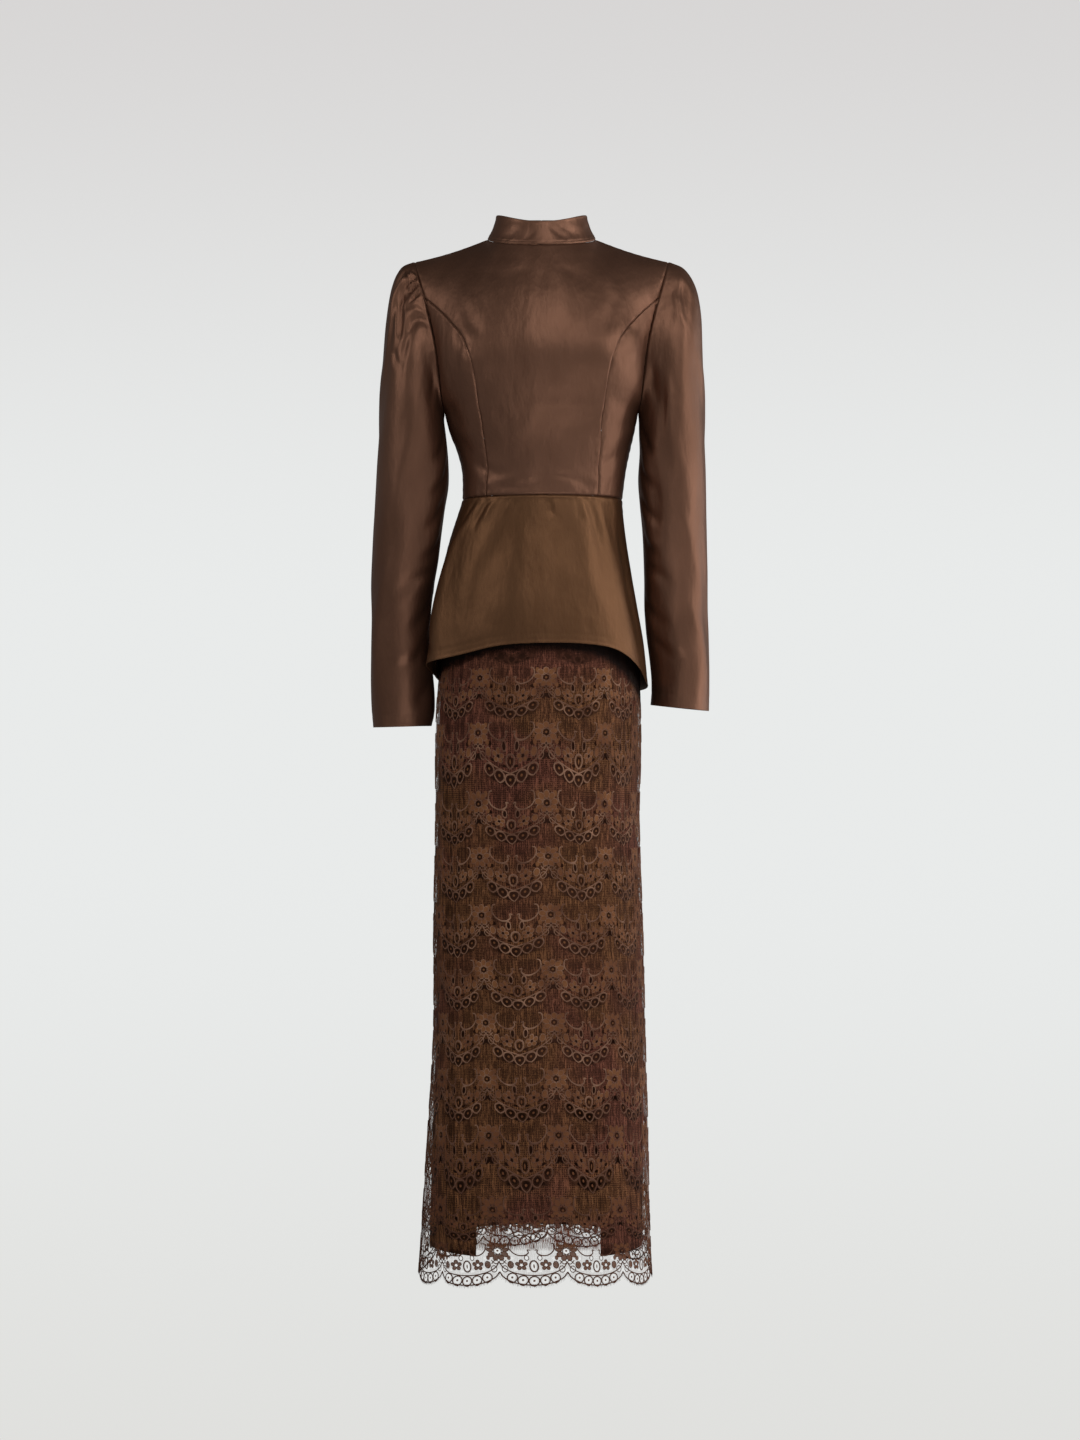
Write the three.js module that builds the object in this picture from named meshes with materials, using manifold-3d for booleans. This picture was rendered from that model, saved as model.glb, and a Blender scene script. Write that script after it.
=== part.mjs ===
// A satin tunic with a stand collar, long sleeves and a flared peplum, over a straight lace skirt with its own
// satin lining: every cut piece is a thin wall of its own, in the hollow shape that it has when worn.
// Millimetres, +Z up. The front faces -Y. The origin is the middle of the base of the neck.
// Left and right are the wearer's own, so the right side is at -X.
import * as THREE from "three";
import Module from "manifold-3d";

// ---- Driving sizes --------------------------------------------------------------------------------------------

const SATIN = 1.2; // wall of the tunic's cloth
const COLLAR_CLOTH = 2; // two layers and an interlining
const LACE = 1;
const LINING = 1;
const BAND = 3; // elastic in its casing
const SEAM = 0.3; // gap between two pieces that are sewn together

const WAIST_Z = -345;
const UNDERARM_Z = -231;
const SQUARENESS = 0.85; // under 1 fills out the corners of a body section

// Half sections of the trunk from the waist to the underarm.
const TRUNK = [
  { z: WAIST_Z, right: 104.5, left: 107, front: 85, back: 79 },
  { z: -307, right: 105.5, left: 112, front: 87, back: 80 },
  { z: -278, right: 113, left: 118, front: 90, back: 83 },
  { z: -258, right: 121, left: 122.5, front: 94, back: 86 },
  { z: UNDERARM_Z, right: 128, left: 128, front: 101, back: 89 },
];

// The centre lines and the armhole edge above the underarm, against the share of the way up to the shoulder seam.
const CENTRE = [
  { up: 0, front: 101, back: 89 },
  { up: 0.2, front: 109, back: 92 },
  { up: 0.35, front: 111, back: 93 },
  { up: 0.5, front: 107, back: 91 },
  { up: 0.65, front: 98, back: 86 },
  { up: 0.8, front: 84, back: 77 },
  { up: 0.92, front: 71, back: 67 },
  { up: 1, front: 62, back: 58 },
];
const ARMHOLE = [
  { up: 0, x: 128, z: UNDERARM_Z, front: 0, back: 0 },
  { up: 0.08, x: 129, z: -226, front: 20, back: 22 },
  { up: 0.2, x: 131.5, z: -208, front: 35, back: 38 },
  { up: 0.35, x: 134.5, z: -178, front: 43, back: 46 },
  { up: 0.5, x: 139.5, z: -142, front: 45, back: 49 },
  { up: 0.65, x: 148, z: -104, front: 41, back: 46 },
  { up: 0.78, x: 157.5, z: -70, front: 32, back: 38 },
  { up: 0.9, x: 165, z: -42, front: 17, back: 21 },
  { up: 1, x: 168.5, z: -28, front: 0, back: 0 },
];

const NECK = { halfWidth: 72.5, front: 62, back: 58, sideZ: 2, frontZ: -17, backZ: 6 };
const NECK_SHARE = 0.5; // share of the top edge, from the centre, that is neckline; the rest is shoulder seam
const SHOULDER_HOLLOW = 2.5; // dip of the shoulder seam between the neck and the tip

// How far the princess seams lie from the centre line (0) towards the side (1), by level: 0 is the waist,
// 1 the underarm and 2 the shoulder.
const FRONT_SEAM = [
  { level: 0, share: 0.49 },
  { level: 0.54, share: 0.46 },
  { level: 0.87, share: 0.435 },
  { level: 1.14, share: 0.455 },
  { level: 1.25, share: 0.475 },
  { level: 1.33, share: 0.505 },
  { level: 1.46, share: 0.6 },
  { level: 1.6, share: 0.79 },
  { level: 1.73, share: 1 },
];
const BACK_SEAM = [
  { level: 0, share: 0.45 },
  { level: 0.54, share: 0.44 },
  { level: 1, share: 0.465 },
  { level: 1.2, share: 0.52 },
  { level: 1.33, share: 0.61 },
  { level: 1.46, share: 0.77 },
  { level: 1.6, share: 1 },
];
const LOWER_LEVELS = [0, 0.2, 0.4, 0.6, 0.8, 1];
const FRONT_LEVELS = [...LOWER_LEVELS, 1.08, 1.2, 1.33, 1.46, 1.6, 1.715, 1.73, 1.85, 1.94, 2];
const BACK_LEVELS = [...LOWER_LEVELS, 1.08, 1.2, 1.33, 1.46, 1.585, 1.6, 1.73, 1.85, 1.94, 2];
const BLUNT_END = { front: 1.715, back: 1.585 }; // level where a side panel stops, just under its point
const HALF_COLUMNS = 10; // columns from the centre line to the side
const SIDE_COLUMNS = 4;

const ARMHOLE_HOLD = 3; // how closely the armhole's bend keeps to the armhole, at the underarm

const BUST = { x: 84, z: -168, radius: 44, height: 6 };

const COLLAR_ROWS = [
  { up: 0, halfWidth: 72.5, front: 62, back: 58 },
  { up: 0.35, halfWidth: 66.5, front: 58.5, back: 55 },
  { up: 0.7, halfWidth: 62.5, front: 55.5, back: 52.5 },
  { up: 1, halfWidth: 60, front: 53, back: 50 },
];
const COLLAR_TOP = { side: 32, front: 15, back: 38 };
const COLLAR_OVERLAP_GAP = 0.5; // half the slit at the centre back

// Sleeve sections below the armhole ring: the outer and the inner edge as seen from the front, the half depth,
// the middle's place from front to back, how round the section is by then, and how high the gathers stand.
const SLEEVES = {
  right: [
    { outX: 186, outZ: -38, inX: 129.5, inZ: -240, depth: 53, mid: 2, round: 0.45, gather: 2.6 },
    { outX: 198, outZ: -65, inX: 127, inZ: -262, depth: 57, mid: 3, round: 0.75, gather: 2.2 },
    { outX: 206, outZ: -110, inX: 124.5, inZ: -292, depth: 60, mid: 4, round: 0.92, gather: 1 },
    { outX: 211, outZ: -165, inX: 124, inZ: -325, depth: 61, mid: 4, round: 1, gather: 0.2 },
    { outX: 215, outZ: -225, inX: 129, inZ: -358, depth: 60, mid: 5, round: 1, gather: 0 },
    { outX: 219, outZ: -290, inX: 133, inZ: -390, depth: 58, mid: 6, round: 1, gather: 0 },
    { outX: 222, outZ: -350, inX: 137, inZ: -425, depth: 55, mid: 7, round: 1, gather: 0 },
    { outX: 225, outZ: -410, inX: 143, inZ: -460, depth: 52, mid: 9, round: 1, gather: 0 },
    { outX: 227, outZ: -460, inX: 147.5, inZ: -498, depth: 49, mid: 11, round: 1, gather: 0 },
    { outX: 228, outZ: -505, inX: 148.5, inZ: -533, depth: 47, mid: 12, round: 1, gather: 0 },
    { outX: 229, outZ: -547, inX: 146, inZ: -566, depth: 45.5, mid: 12, round: 1, gather: 0 },
    { outX: 229, outZ: -587, inX: 143, inZ: -599, depth: 44, mid: 12, round: 1, gather: 0 },
    { outX: 227, outZ: -622, inX: 143, inZ: -627, depth: 43, mid: 12, round: 1, gather: 0 },
    { outX: 224.5, outZ: -647, inX: 147, inZ: -645, depth: 42.5, mid: 12, round: 1, gather: 0 },
  ],
  left: [
    { outX: 190, outZ: -38, inX: 129.5, inZ: -240, depth: 53, mid: 2, round: 0.45, gather: 0.5 },
    { outX: 205, outZ: -62, inX: 130, inZ: -258, depth: 57, mid: 3, round: 0.75, gather: 0.3 },
    { outX: 212, outZ: -97, inX: 131, inZ: -284, depth: 60, mid: 4, round: 0.92, gather: 0 },
    { outX: 214, outZ: -150, inX: 129, inZ: -318, depth: 61, mid: 4, round: 1, gather: 0 },
    { outX: 216, outZ: -210, inX: 131, inZ: -350, depth: 60, mid: 5, round: 1, gather: 0 },
    { outX: 218, outZ: -268, inX: 134, inZ: -384, depth: 58, mid: 6, round: 1, gather: 0 },
    { outX: 219.5, outZ: -328, inX: 135.5, inZ: -420, depth: 55, mid: 7, round: 1, gather: 0 },
    { outX: 220, outZ: -385, inX: 136.5, inZ: -455, depth: 52, mid: 9, round: 1, gather: 0 },
    { outX: 221, outZ: -438, inX: 137, inZ: -488, depth: 49, mid: 11, round: 1, gather: 0 },
    { outX: 221.5, outZ: -485, inX: 139.5, inZ: -520, depth: 47, mid: 12, round: 1, gather: 0 },
    { outX: 223.5, outZ: -527, inX: 143.5, inZ: -550, depth: 45.5, mid: 12, round: 1, gather: 0 },
    { outX: 225, outZ: -565, inX: 146.5, inZ: -577, depth: 44, mid: 12, round: 1, gather: 0 },
    { outX: 224.5, outZ: -597, inX: 147, inZ: -599, depth: 43, mid: 12, round: 1, gather: 0 },
    { outX: 223.5, outZ: -625, inX: 146, inZ: -617, depth: 42.5, mid: 12, round: 1, gather: 0 },
  ],
};
// Levels of the armhole edge that the sleeve's ring takes, from the underarm up to the tip.
const RING_LEVELS = [
  1, 1.08, 1.14, 1.2, 1.265, 1.33, 1.395, 1.46, 1.53, 1.6, 1.665, 1.73, 1.85, 1.94, 2,
];
const GATHER_REACH = 0.42; // share of the ring, about the tip, that is gathered

// Troughs pressed into the sleeves: turn is degrees from the underarm, over the front.
const SLEEVE_FOLDS = {
  right: [
    { turn: 122, z: -128, wide: 13, tall: 46, deep: 4 },
    { turn: 62, z: -330, wide: 16, tall: 60, deep: 4 },
    { turn: 300, z: -360, wide: 20, tall: 60, deep: 4 },
    { turn: 40, z: -600, wide: 18, tall: 40, deep: 4 },
  ],
  left: [
    { turn: 80, z: -230, wide: 20, tall: 80, deep: 4 },
    { turn: 52, z: -345, wide: 14, tall: 50, deep: 4 },
    { turn: 290, z: -350, wide: 20, tall: 60, deep: 4 },
    { turn: 60, z: -560, wide: 16, tall: 60, deep: 3 },
  ],
};

// The peplum: reach at its sides, front and back by height, and its hem's height by turn from the centre front.
const PEPLUM = [
  { z: WAIST_Z - SEAM, right: 104.5, left: 107, front: 85, back: 79 },
  { z: -400, right: 122, left: 111, front: 93, back: 92 },
  { z: -449, right: 133, left: 118.5, front: 101, back: 107 },
  { z: -496, right: 139, left: 127, front: 108, back: 118 },
  { z: -540, right: 141, left: 135.5, front: 113, back: 126 },
  { z: -600, right: 141, left: 142, front: 118, back: 133 },
];
const PEPLUM_HEM = [
  { turn: -180, z: -597 },
  { turn: -120, z: -590 },
  { turn: -90, z: -578 },
  { turn: -70, z: -563 },
  { turn: -45, z: -551 },
  { turn: -22, z: -541 },
  { turn: 0, z: -538 },
  { turn: 25, z: -539 },
  { turn: 45, z: -546 },
  { turn: 62, z: -566 },
  { turn: 78, z: -588 },
  { turn: 90, z: -593 },
  { turn: 120, z: -598 },
  { turn: 180, z: -597 },
];
const PEPLUM_ROWS = 7;
// Flutes of the peplum: where the flare gathers into a soft wave, strongest at the hem.
const PEPLUM_FLUTES = [
  { turn: -69, wide: 13, out: 22 },
  { turn: -36, wide: 14, out: -3 },
  { turn: 58, wide: 16, out: 4 },
  { turn: 132, wide: 16, out: 7 },
  { turn: 162, wide: 12, out: -3 },
  { turn: -135, wide: 16, out: 7 },
  { turn: -158, wide: 12, out: -3 },
];
const PEPLUM_TOP_FREE = -375; // flutes start below this height

// The skirt's lace, with ease, how far the lining lies inside it.
const SKIRT = [
  { z: -377, right: 98, left: 99.5, front: 79, back: 77, ease: LACE + SEAM },
  { z: -410, right: 106, left: 104, front: 87, back: 90, ease: 2.4 },
  { z: -449, right: 117, left: 111, front: 94, back: 100, ease: 3.2 },
  { z: -500, right: 127, left: 119.5, front: 99, back: 109, ease: 3.4 },
  { z: -560, right: 133, left: 128.5, front: 102, back: 115, ease: 3.4 },
  { z: -610, right: 137.5, left: 131, front: 103, back: 117, ease: 3.4 },
  { z: -677, right: 140, left: 132, front: 103, back: 116, ease: 3.4 },
  { z: -770, right: 140.5, left: 130, front: 103, back: 114, ease: 3.4 },
  { z: -930, right: 143, left: 135, front: 105, back: 113, ease: 3.4 },
  { z: -1049, right: 143.5, left: 137.7, front: 107, back: 114, ease: 3.4 },
  { z: -1182, right: 151, left: 141.6, front: 111, back: 116, ease: 6.5 },
  { z: -1289, right: 158, left: 144.5, front: 114, back: 118, ease: 10.5 },
  { z: -1380, right: 163.5, left: 147.5, front: 117, back: 120, ease: 13 },
];
const SKIRT_SQUARENESS = 0.88;
const BAND_TOP_Z = -347;
const SKIRT_TOP_Z = -377;
const LINING_HEM_Z = -1330;
const SLIT = { halfWidth: 84, tall: 200 }; // opening in the lining at the centre front
const SCALLOPS = 11; // round the hem
const SCALLOP_PHASE = -0.1; // of a scallop, from the centre front to the nearest tip
const SCALLOP_DEEP = 20;
const LACE_TIP_Z = -1361;
const LACE_TIP_DROP = 14; // how much lower the tips hang at the sides
const SCALLOP_COLUMNS = 6;
const LINING_COLUMNS = 16;
const LACE_LEVELS = [0, 0.05, 0.13, 0.22, 0.34, 0.46, 0.58, 0.7, 0.82, 0.93, 1];

// The soft fold down the lace, where its side seam has turned to the front: x of the fold by height.
const LACE_FOLD = [
  { z: -560, x: -137 },
  { z: -737, x: -127 },
  { z: -932, x: -130 },
  { z: -1010, x: -109 },
  { z: -1129, x: -108 },
  { z: -1252, x: -112 },
  { z: -1390, x: -117 },
];
const LACE_FOLD_WIDTH = 9;
const LACE_FOLD_DEPTH = 3.2;

// The zip's slider and its pull tab, at the top of the centre back.
const ZIP = {
  up: 0.62, // share of the collar's height
  body: { wide: 6, tall: 9, thick: 1.6 },
  bridge: { wide: 1.6, half: 2.4, high: 2.3, bar: 0.7 },
  pull: { wide: 4.6, long: 15, thick: 1, eyeWide: 2.8, eyeLong: 3.7 },
};
const ZIP_CLEAR = 0.35;

// ---- Vectors and tables ---------------------------------------------------------------------------------------

const add = (a, b) => a.map((value, k) => value + b[k]);
const scaled = (a, by) => a.map((value) => value * by);
const minus = (a, b) => a.map((value, k) => value - b[k]);
const dot = (a, b) => a.reduce((sum, value, k) => sum + value * b[k], 0);
const mixed = (a, b, share) => a.map((value, k) => value + (b[k] - value) * share);
const blend = (a, b, share) => a + (b - a) * share;
const radians = THREE.MathUtils.degToRad;
const bell = (distance) => Math.exp(-distance * distance);

function unit(a) {
  return scaled(a, 1 / Math.hypot(...a));
}

function cross(a, b) {
  return [a[1] * b[2] - a[2] * b[1], a[2] * b[0] - a[0] * b[2], a[0] * b[1] - a[1] * b[0]];
}

// The column's value at a place along the table's key: a smooth cubic through the rows, whichever way they run.
function read(table, key, column, place) {
  const rows = table[0][key] < table.at(-1)[key] ? table : [...table].reverse();
  const at = Math.min(Math.max(place, rows[0][key]), rows.at(-1)[key]);
  let k = rows.findIndex((row) => row[key] >= at) - 1;
  k = Math.max(k, 0);
  const slope = (n) => {
    const low = rows[Math.max(n - 1, 0)];
    const high = rows[Math.min(n + 1, rows.length - 1)];
    return (high[column] - low[column]) / (high[key] - low[key]);
  };
  const span = rows[k + 1][key] - rows[k][key];
  const t = (at - rows[k][key]) / span;
  const rise = slope(k) * span * t * (1 - t) * (1 - t) - slope(k + 1) * span * t * t * (1 - t);
  return blend(rows[k][column], rows[k + 1][column], t * t * (3 - 2 * t)) + rise;
}

// ---- Walls ----------------------------------------------------------------------------------------------------

// A closed solid from a grid of outer points and the inner points behind them. A ring joins its last column to
// its first.
function wall(outer, inner, ring = false) {
  const rows = outer.length - 1;
  const columns = outer[0].length - (ring ? 0 : 1);
  const across = outer[0].length;
  const points = [...outer.flat(), ...inner.flat()];
  const out = (i, j) => i * across + (j % across);
  const back = (i, j) => outer.length * across + out(i, j);
  let faces = [];
  const quad = (a, b, c, d) => faces.push([a, b, c], [a, c, d]);
  for (let i = 0; i < rows; i++)
    for (let j = 0; j < columns; j++) {
      quad(out(i, j), out(i, j + 1), out(i + 1, j + 1), out(i + 1, j));
      quad(back(i, j), back(i + 1, j), back(i + 1, j + 1), back(i, j + 1));
    }
  for (let j = 0; j < columns; j++) {
    quad(out(0, j), back(0, j), back(0, j + 1), out(0, j + 1));
    quad(out(rows, j), out(rows, j + 1), back(rows, j + 1), back(rows, j));
  }
  for (let i = 0; i < rows && !ring; i++) {
    quad(out(i, 0), out(i + 1, 0), back(i + 1, 0), back(i, 0));
    quad(out(i, columns), back(i, columns), back(i + 1, columns), out(i + 1, columns));
  }
  const volume = faces.reduce(
    (sum, [a, b, c]) => sum + dot(points[a], cross(points[b], points[c])),
    0,
  );
  if (volume < 0) faces = faces.map(([a, b, c]) => [a, c, b]);
  return { points, faces };
}

// The same, from a function that gives each grid place its outer point and the way that it faces.
function shell(levels, places, at, thick, ring = false) {
  const grid = levels.map((level) => places.map((place) => at(level, place)));
  const outer = grid.map((row) => row.map(({ point }) => point));
  const inner = grid.map((row) => row.map(({ point, facing }) => minus(point, scaled(facing, thick))));
  return wall(outer, inner, ring);
}

function steps(count, from = 0, to = 1) {
  return Array.from({ length: count + 1 }, (_, k) => blend(from, to, k / count));
}

// The way that a surface faces, from its slopes along both of its parameters, turned towards a hint.
function facingOf(surface, a, b, range, hint) {
  const step = 1e-3;
  const near = (value, [low, high]) => [Math.max(value - step, low), Math.min(value + step, high)];
  const [a0, a1] = near(a, range[0]);
  const [b0, b1] = near(b, range[1]);
  const normal = cross(minus(surface(a1, b), surface(a0, b)), minus(surface(a, b1), surface(a, b0)));
  const way = unit(normal);
  return dot(way, hint) < 0 ? scaled(way, -1) : way;
}

// ---- The tunic's body -----------------------------------------------------------------------------------------

const SIDES = { right: -1, left: 1 };

function trunkSection(side, half, share, z) {
  const reach = read(TRUNK, "z", side, z);
  const depth = read(TRUNK, "z", half, z);
  const turn = (share * Math.PI) / 2;
  return [
    SIDES[side] * reach * Math.sin(turn),
    (half === "front" ? -1 : 1) * depth * Math.max(Math.cos(turn), 0) ** SQUARENESS,
    z,
  ];
}

// The neckline from its centre, then the shoulder seam out to its tip.
function topEdge(side, half, share) {
  const tip = ARMHOLE.at(-1);
  const sign = half === "front" ? -1 : 1;
  if (share <= NECK_SHARE) {
    const turn = (share / NECK_SHARE) * (Math.PI / 2);
    const centreZ = half === "front" ? NECK.frontZ : NECK.backZ;
    return [
      SIDES[side] * NECK.halfWidth * Math.sin(turn),
      sign * NECK[half] * Math.cos(turn),
      blend(centreZ, NECK.sideZ, 1 - Math.cos(turn)),
    ];
  }
  const along = (share - NECK_SHARE) / (1 - NECK_SHARE);
  const dip = SHOULDER_HOLLOW * Math.sin(along * Math.PI);
  return [
    SIDES[side] * blend(NECK.halfWidth, tip.x, along),
    0,
    blend(NECK.sideZ, tip.z, along) - dip,
  ];
}

// A quarter of the trunk. Up to level 1 it is the body section at that height. Above, it is a patch between the
// underarm section, the centre line, the armhole edge and the top edge: the two level edges are blended, and
// what the blend misses of the centre line and of the armhole edge is added back. Close to the underarm the
// armhole's bend is kept near the armhole, so that the front runs smoothly from the chest to the waist.
function quarter(side, half, share, level) {
  if (level <= 1) return trunkSection(side, half, share, blend(WAIST_Z, UNDERARM_Z, level));
  const up = level - 1;
  const sign = half === "front" ? -1 : 1;
  const lift = up * up;
  const centreTopZ = half === "front" ? NECK.frontZ : NECK.backZ;
  const levelEdge = (s) => mixed(trunkSection(side, half, s, UNDERARM_Z), topEdge(side, half, s), lift);
  const centre = [0, sign * read(CENTRE, "up", half, up), blend(UNDERARM_Z, centreTopZ, up)];
  const edge = [
    SIDES[side] * read(ARMHOLE, "up", "x", up),
    sign * read(ARMHOLE, "up", half, up),
    read(ARMHOLE, "up", "z", up),
  ];
  const nearEdge = share ** (1 + ARMHOLE_HOLD * (1 - up) ** 3);
  const fromCentre = scaled(minus(centre, levelEdge(0)), 1 - nearEdge);
  const fromEdge = scaled(minus(edge, levelEdge(1)), nearEdge);
  return add(add(levelEdge(share), fromCentre), fromEdge);
}

const QUARTER_RANGE = [
  [0, 1],
  [0, 2],
];

const onShoulder = (share, level) => level === 2 && share > NECK_SHARE - 1e-6;

// A place on the trunk with the bust's fullness, and the way that it faces. At the side and shoulder seams
// both halves face the same way.
function onTrunk(side, half, share, level) {
  const plain = quarter(side, half, share, level);
  const hint = [plain[0], plain[1], level > 1 ? 60 : 0];
  const facing = facingOf(
    (s, v) => quarter(side, half, s, v),
    share,
    level,
    QUARTER_RANGE,
    hint,
  );
  if (share === 1 && level <= 1) facing[1] = 0;
  if (onShoulder(share, level)) facing[1] = 0;
  if (share === 0) facing[0] = 0;
  const way = unit(facing);
  const aside = (Math.abs(plain[0]) - BUST.x) / BUST.radius;
  const above = (plain[2] - BUST.z) / BUST.radius;
  const full = half === "front" ? BUST.height * bell(Math.hypot(aside, above)) : 0;
  const apart = onShoulder(share, level) ? ((half === "front" ? -1 : 1) * SEAM) / 2 : 0;
  const point = share === 1 ? plain : add(plain, scaled(way, full));
  return { point: add(point, [0, apart, 0]), facing: way };
}

// The share that lies half a seam's gap to one side of a seam.
function besideSeam(side, half, seam, level, towards) {
  const share = read(seam, "level", "share", level);
  const step = 0.004;
  const across = minus(quarter(side, half, share, level), quarter(side, half, share - step, level));
  const low = Math.max(level - step, 0);
  const along = unit(
    minus(
      quarter(side, half, share, level),
      quarter(side, half, read(seam, "level", "share", low) - (level === low ? step : 0), low),
    ),
  );
  const sideways = minus(across, scaled(along, dot(across, along)));
  const perShare = Math.max(Math.hypot(...(level === low ? across : sideways)), 1e-3) / step;
  return share + (towards * SEAM) / 2 / perShare;
}

function seamOf(half) {
  return half === "front" ? FRONT_SEAM : BACK_SEAM;
}

const seamEnd = (half) => seamOf(half).at(-1).level;

// The outer share of the panel next to the centre: the princess seam, then the armhole edge.
function centrePanelShare(side, half, level) {
  if (level >= seamEnd(half)) return 1;
  return besideSeam(side, half, seamOf(half), level, -1);
}

function bodiceFront() {
  const places = steps(2 * HALF_COLUMNS, -1, 1);
  const at = (level, place) => {
    const side = place < 0 ? "right" : "left";
    const share = Math.abs(place) * centrePanelShare(side, "front", level);
    return onTrunk(side, "front", share, level);
  };
  return shell(FRONT_LEVELS, places, at, SATIN);
}

function bodiceBack(side) {
  const at = (level, place) => {
    const share = place * centrePanelShare(side, "back", level);
    const spot = onTrunk(side, "back", share, level);
    const clear = place === 0 ? (SIDES[side] * SEAM) / 2 : 0;
    return { point: add(spot.point, [clear, 0, 0]), facing: spot.facing };
  };
  return shell(BACK_LEVELS, steps(HALF_COLUMNS), at, SATIN);
}

function bodiceSide(side, half) {
  const levels = (half === "front" ? FRONT_LEVELS : BACK_LEVELS).filter((v) => v <= BLUNT_END[half]);
  const at = (level, place) => {
    const from = besideSeam(side, half, seamOf(half), level, 1);
    const spot = onTrunk(side, half, blend(from, 1, place), level);
    const atSideSeam = place === 1 && level <= 1;
    const clear = atSideSeam ? ((half === "front" ? -1 : 1) * SEAM) / 2 : 0;
    return { point: add(spot.point, [0, clear, 0]), facing: spot.facing };
  };
  return shell(levels, steps(SIDE_COLUMNS), at, SATIN);
}

// ---- Collar ---------------------------------------------------------------------------------------------------

// A place on the stand collar: turn goes round from the centre front, positive to the wearer's left.
function onCollar(up, turn) {
  const half = Math.abs(turn) <= 90 ? "front" : "back";
  const angle = radians(turn);
  const fromSide = Math.abs(Math.cos(angle));
  const baseCentre = half === "front" ? NECK.frontZ : NECK.backZ;
  const base = blend(baseCentre, NECK.sideZ, 1 - fromSide) + SEAM;
  const top = blend(COLLAR_TOP.side, COLLAR_TOP[half], fromSide * fromSide);
  return [
    read(COLLAR_ROWS, "up", "halfWidth", up) * Math.sin(angle),
    -read(COLLAR_ROWS, "up", half, up) * Math.cos(angle),
    blend(base, top, up),
  ];
}

function collar() {
  const range = [
    [0, 1],
    [-180, 180],
  ];
  const at = (up, turn) => {
    const point = onCollar(up, turn);
    const facing = facingOf(onCollar, up, turn, range, [point[0], point[1], 0]);
    const clear = Math.abs(turn) === 180 ? Math.sign(turn) * COLLAR_OVERLAP_GAP : 0;
    return { point: add(point, [clear, 0, 0]), facing };
  };
  const places = steps(4 * (HALF_COLUMNS * NECK_SHARE), -180, 180);
  return shell([0, 0.35, 0.7, 1], places, at, COLLAR_CLOTH);
}

// ---- Sleeves --------------------------------------------------------------------------------------------------

// The armhole's edge as the panels have it: straight between their levels.
function armholeEdge(side, half, level) {
  const levels = (half === "front" ? FRONT_LEVELS : BACK_LEVELS).filter(
    (v) => v >= 1 && v !== BLUNT_END[half],
  );
  const next = Math.max(
    levels.findIndex((v) => v >= level),
    1,
  );
  const [low, high] = [levels[next - 1], levels[next]];
  const ends = [low, high].map((v) => onTrunk(side, half, 1, v).point);
  return mixed(...ends, (level - low) / (high - low));
}

// Outer points of a sleeve: the armhole's ring, then rings that hang between the outer and the inner edge. Ring
// places go from the underarm over the front to the shoulder's tip and back behind.
function sleeveRings(side) {
  const sign = SIDES[side];
  const front = RING_LEVELS.map((level) => armholeEdge(side, "front", level));
  const rear = RING_LEVELS.slice(1, -1).map((level) => armholeEdge(side, "back", level));
  const start = [...front, ...rear.reverse()].map((p) => add(p, [sign * SEAM, 0, 0]));
  const count = start.length;
  const tip = front.at(-1);
  const under = front[0];
  const slant = [under[0] - tip[0], 0, under[2] - tip[2]];
  const slantSquared = dot(slant, slant);
  const local = start.map((p) => {
    const from = minus(p, tip);
    const down = dot([from[0], 0, from[2]], slant) / slantSquared;
    const aside = (from[0] * slant[2] - from[2] * slant[0]) / Math.sqrt(slantSquared);
    return { down, aside, y: p[1] };
  });
  const rings = SLEEVES[side].map((row) => {
    const across = [sign * (row.inX - row.outX), 0, row.inZ - row.outZ];
    const length = Math.hypot(...across);
    return local.map((spot, j) => {
      const turn = (j / count) * 2 * Math.PI;
      const down = blend(spot.down, (1 + Math.cos(turn)) / 2, row.round);
      const y = blend(spot.y, row.mid - row.depth * Math.sin(turn), row.round);
      const aside = spot.aside * (1 - row.round);
      const nearTip = Math.max(0, 1 - Math.abs(j / count - 0.5) / (GATHER_REACH / 2));
      const gather = row.gather * (j % 2 ? -1 : 1) * Math.min(1, nearTip * 3);
      const middle = [sign * row.outX + across[0] / 2, row.mid, row.outZ + across[2] / 2];
      const point = [
        sign * row.outX + across[0] * down + (aside * across[2]) / length,
        y,
        row.outZ + across[2] * down - (aside * across[0]) / length,
      ];
      const away = unit(minus(point, middle));
      const girth = (2 * Math.PI * row.depth) / 360; // arc of one degree
      const pressed = SLEEVE_FOLDS[side].reduce((sum, fold) => {
        const round = (((j / count) * 360 - fold.turn) * girth) / fold.wide;
        return sum + fold.deep * bell(Math.hypot(round, (point[2] - fold.z) / fold.tall));
      }, 0);
      return add(point, scaled(away, gather - pressed));
    });
  });
  return [start, ...rings];
}

function sleeve(side) {
  const rings = sleeveRings(side);
  const count = rings[0].length;
  const holeMiddle = scaled(rings[0].reduce((sum, p) => add(sum, p)), 1 / count);
  const inner = rings.map((ring, i) =>
    ring.map((point, j) => {
      if (i === 0) {
        const away = minus(point, holeMiddle);
        return minus(point, scaled(unit([0, away[1], away[2]]), SATIN));
      }
      const along = minus(rings[Math.min(i + 1, rings.length - 1)][j], rings[i - 1][j]);
      const round = minus(ring[(j + 1) % count], ring[(j + count - 1) % count]);
      const facing = unit(scaled(cross(along, round), -SIDES[side]));
      return minus(point, scaled(facing, SATIN));
    }),
  );
  return wall(rings, inner, true);
}

// ---- Peplum ---------------------------------------------------------------------------------------------------

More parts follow.
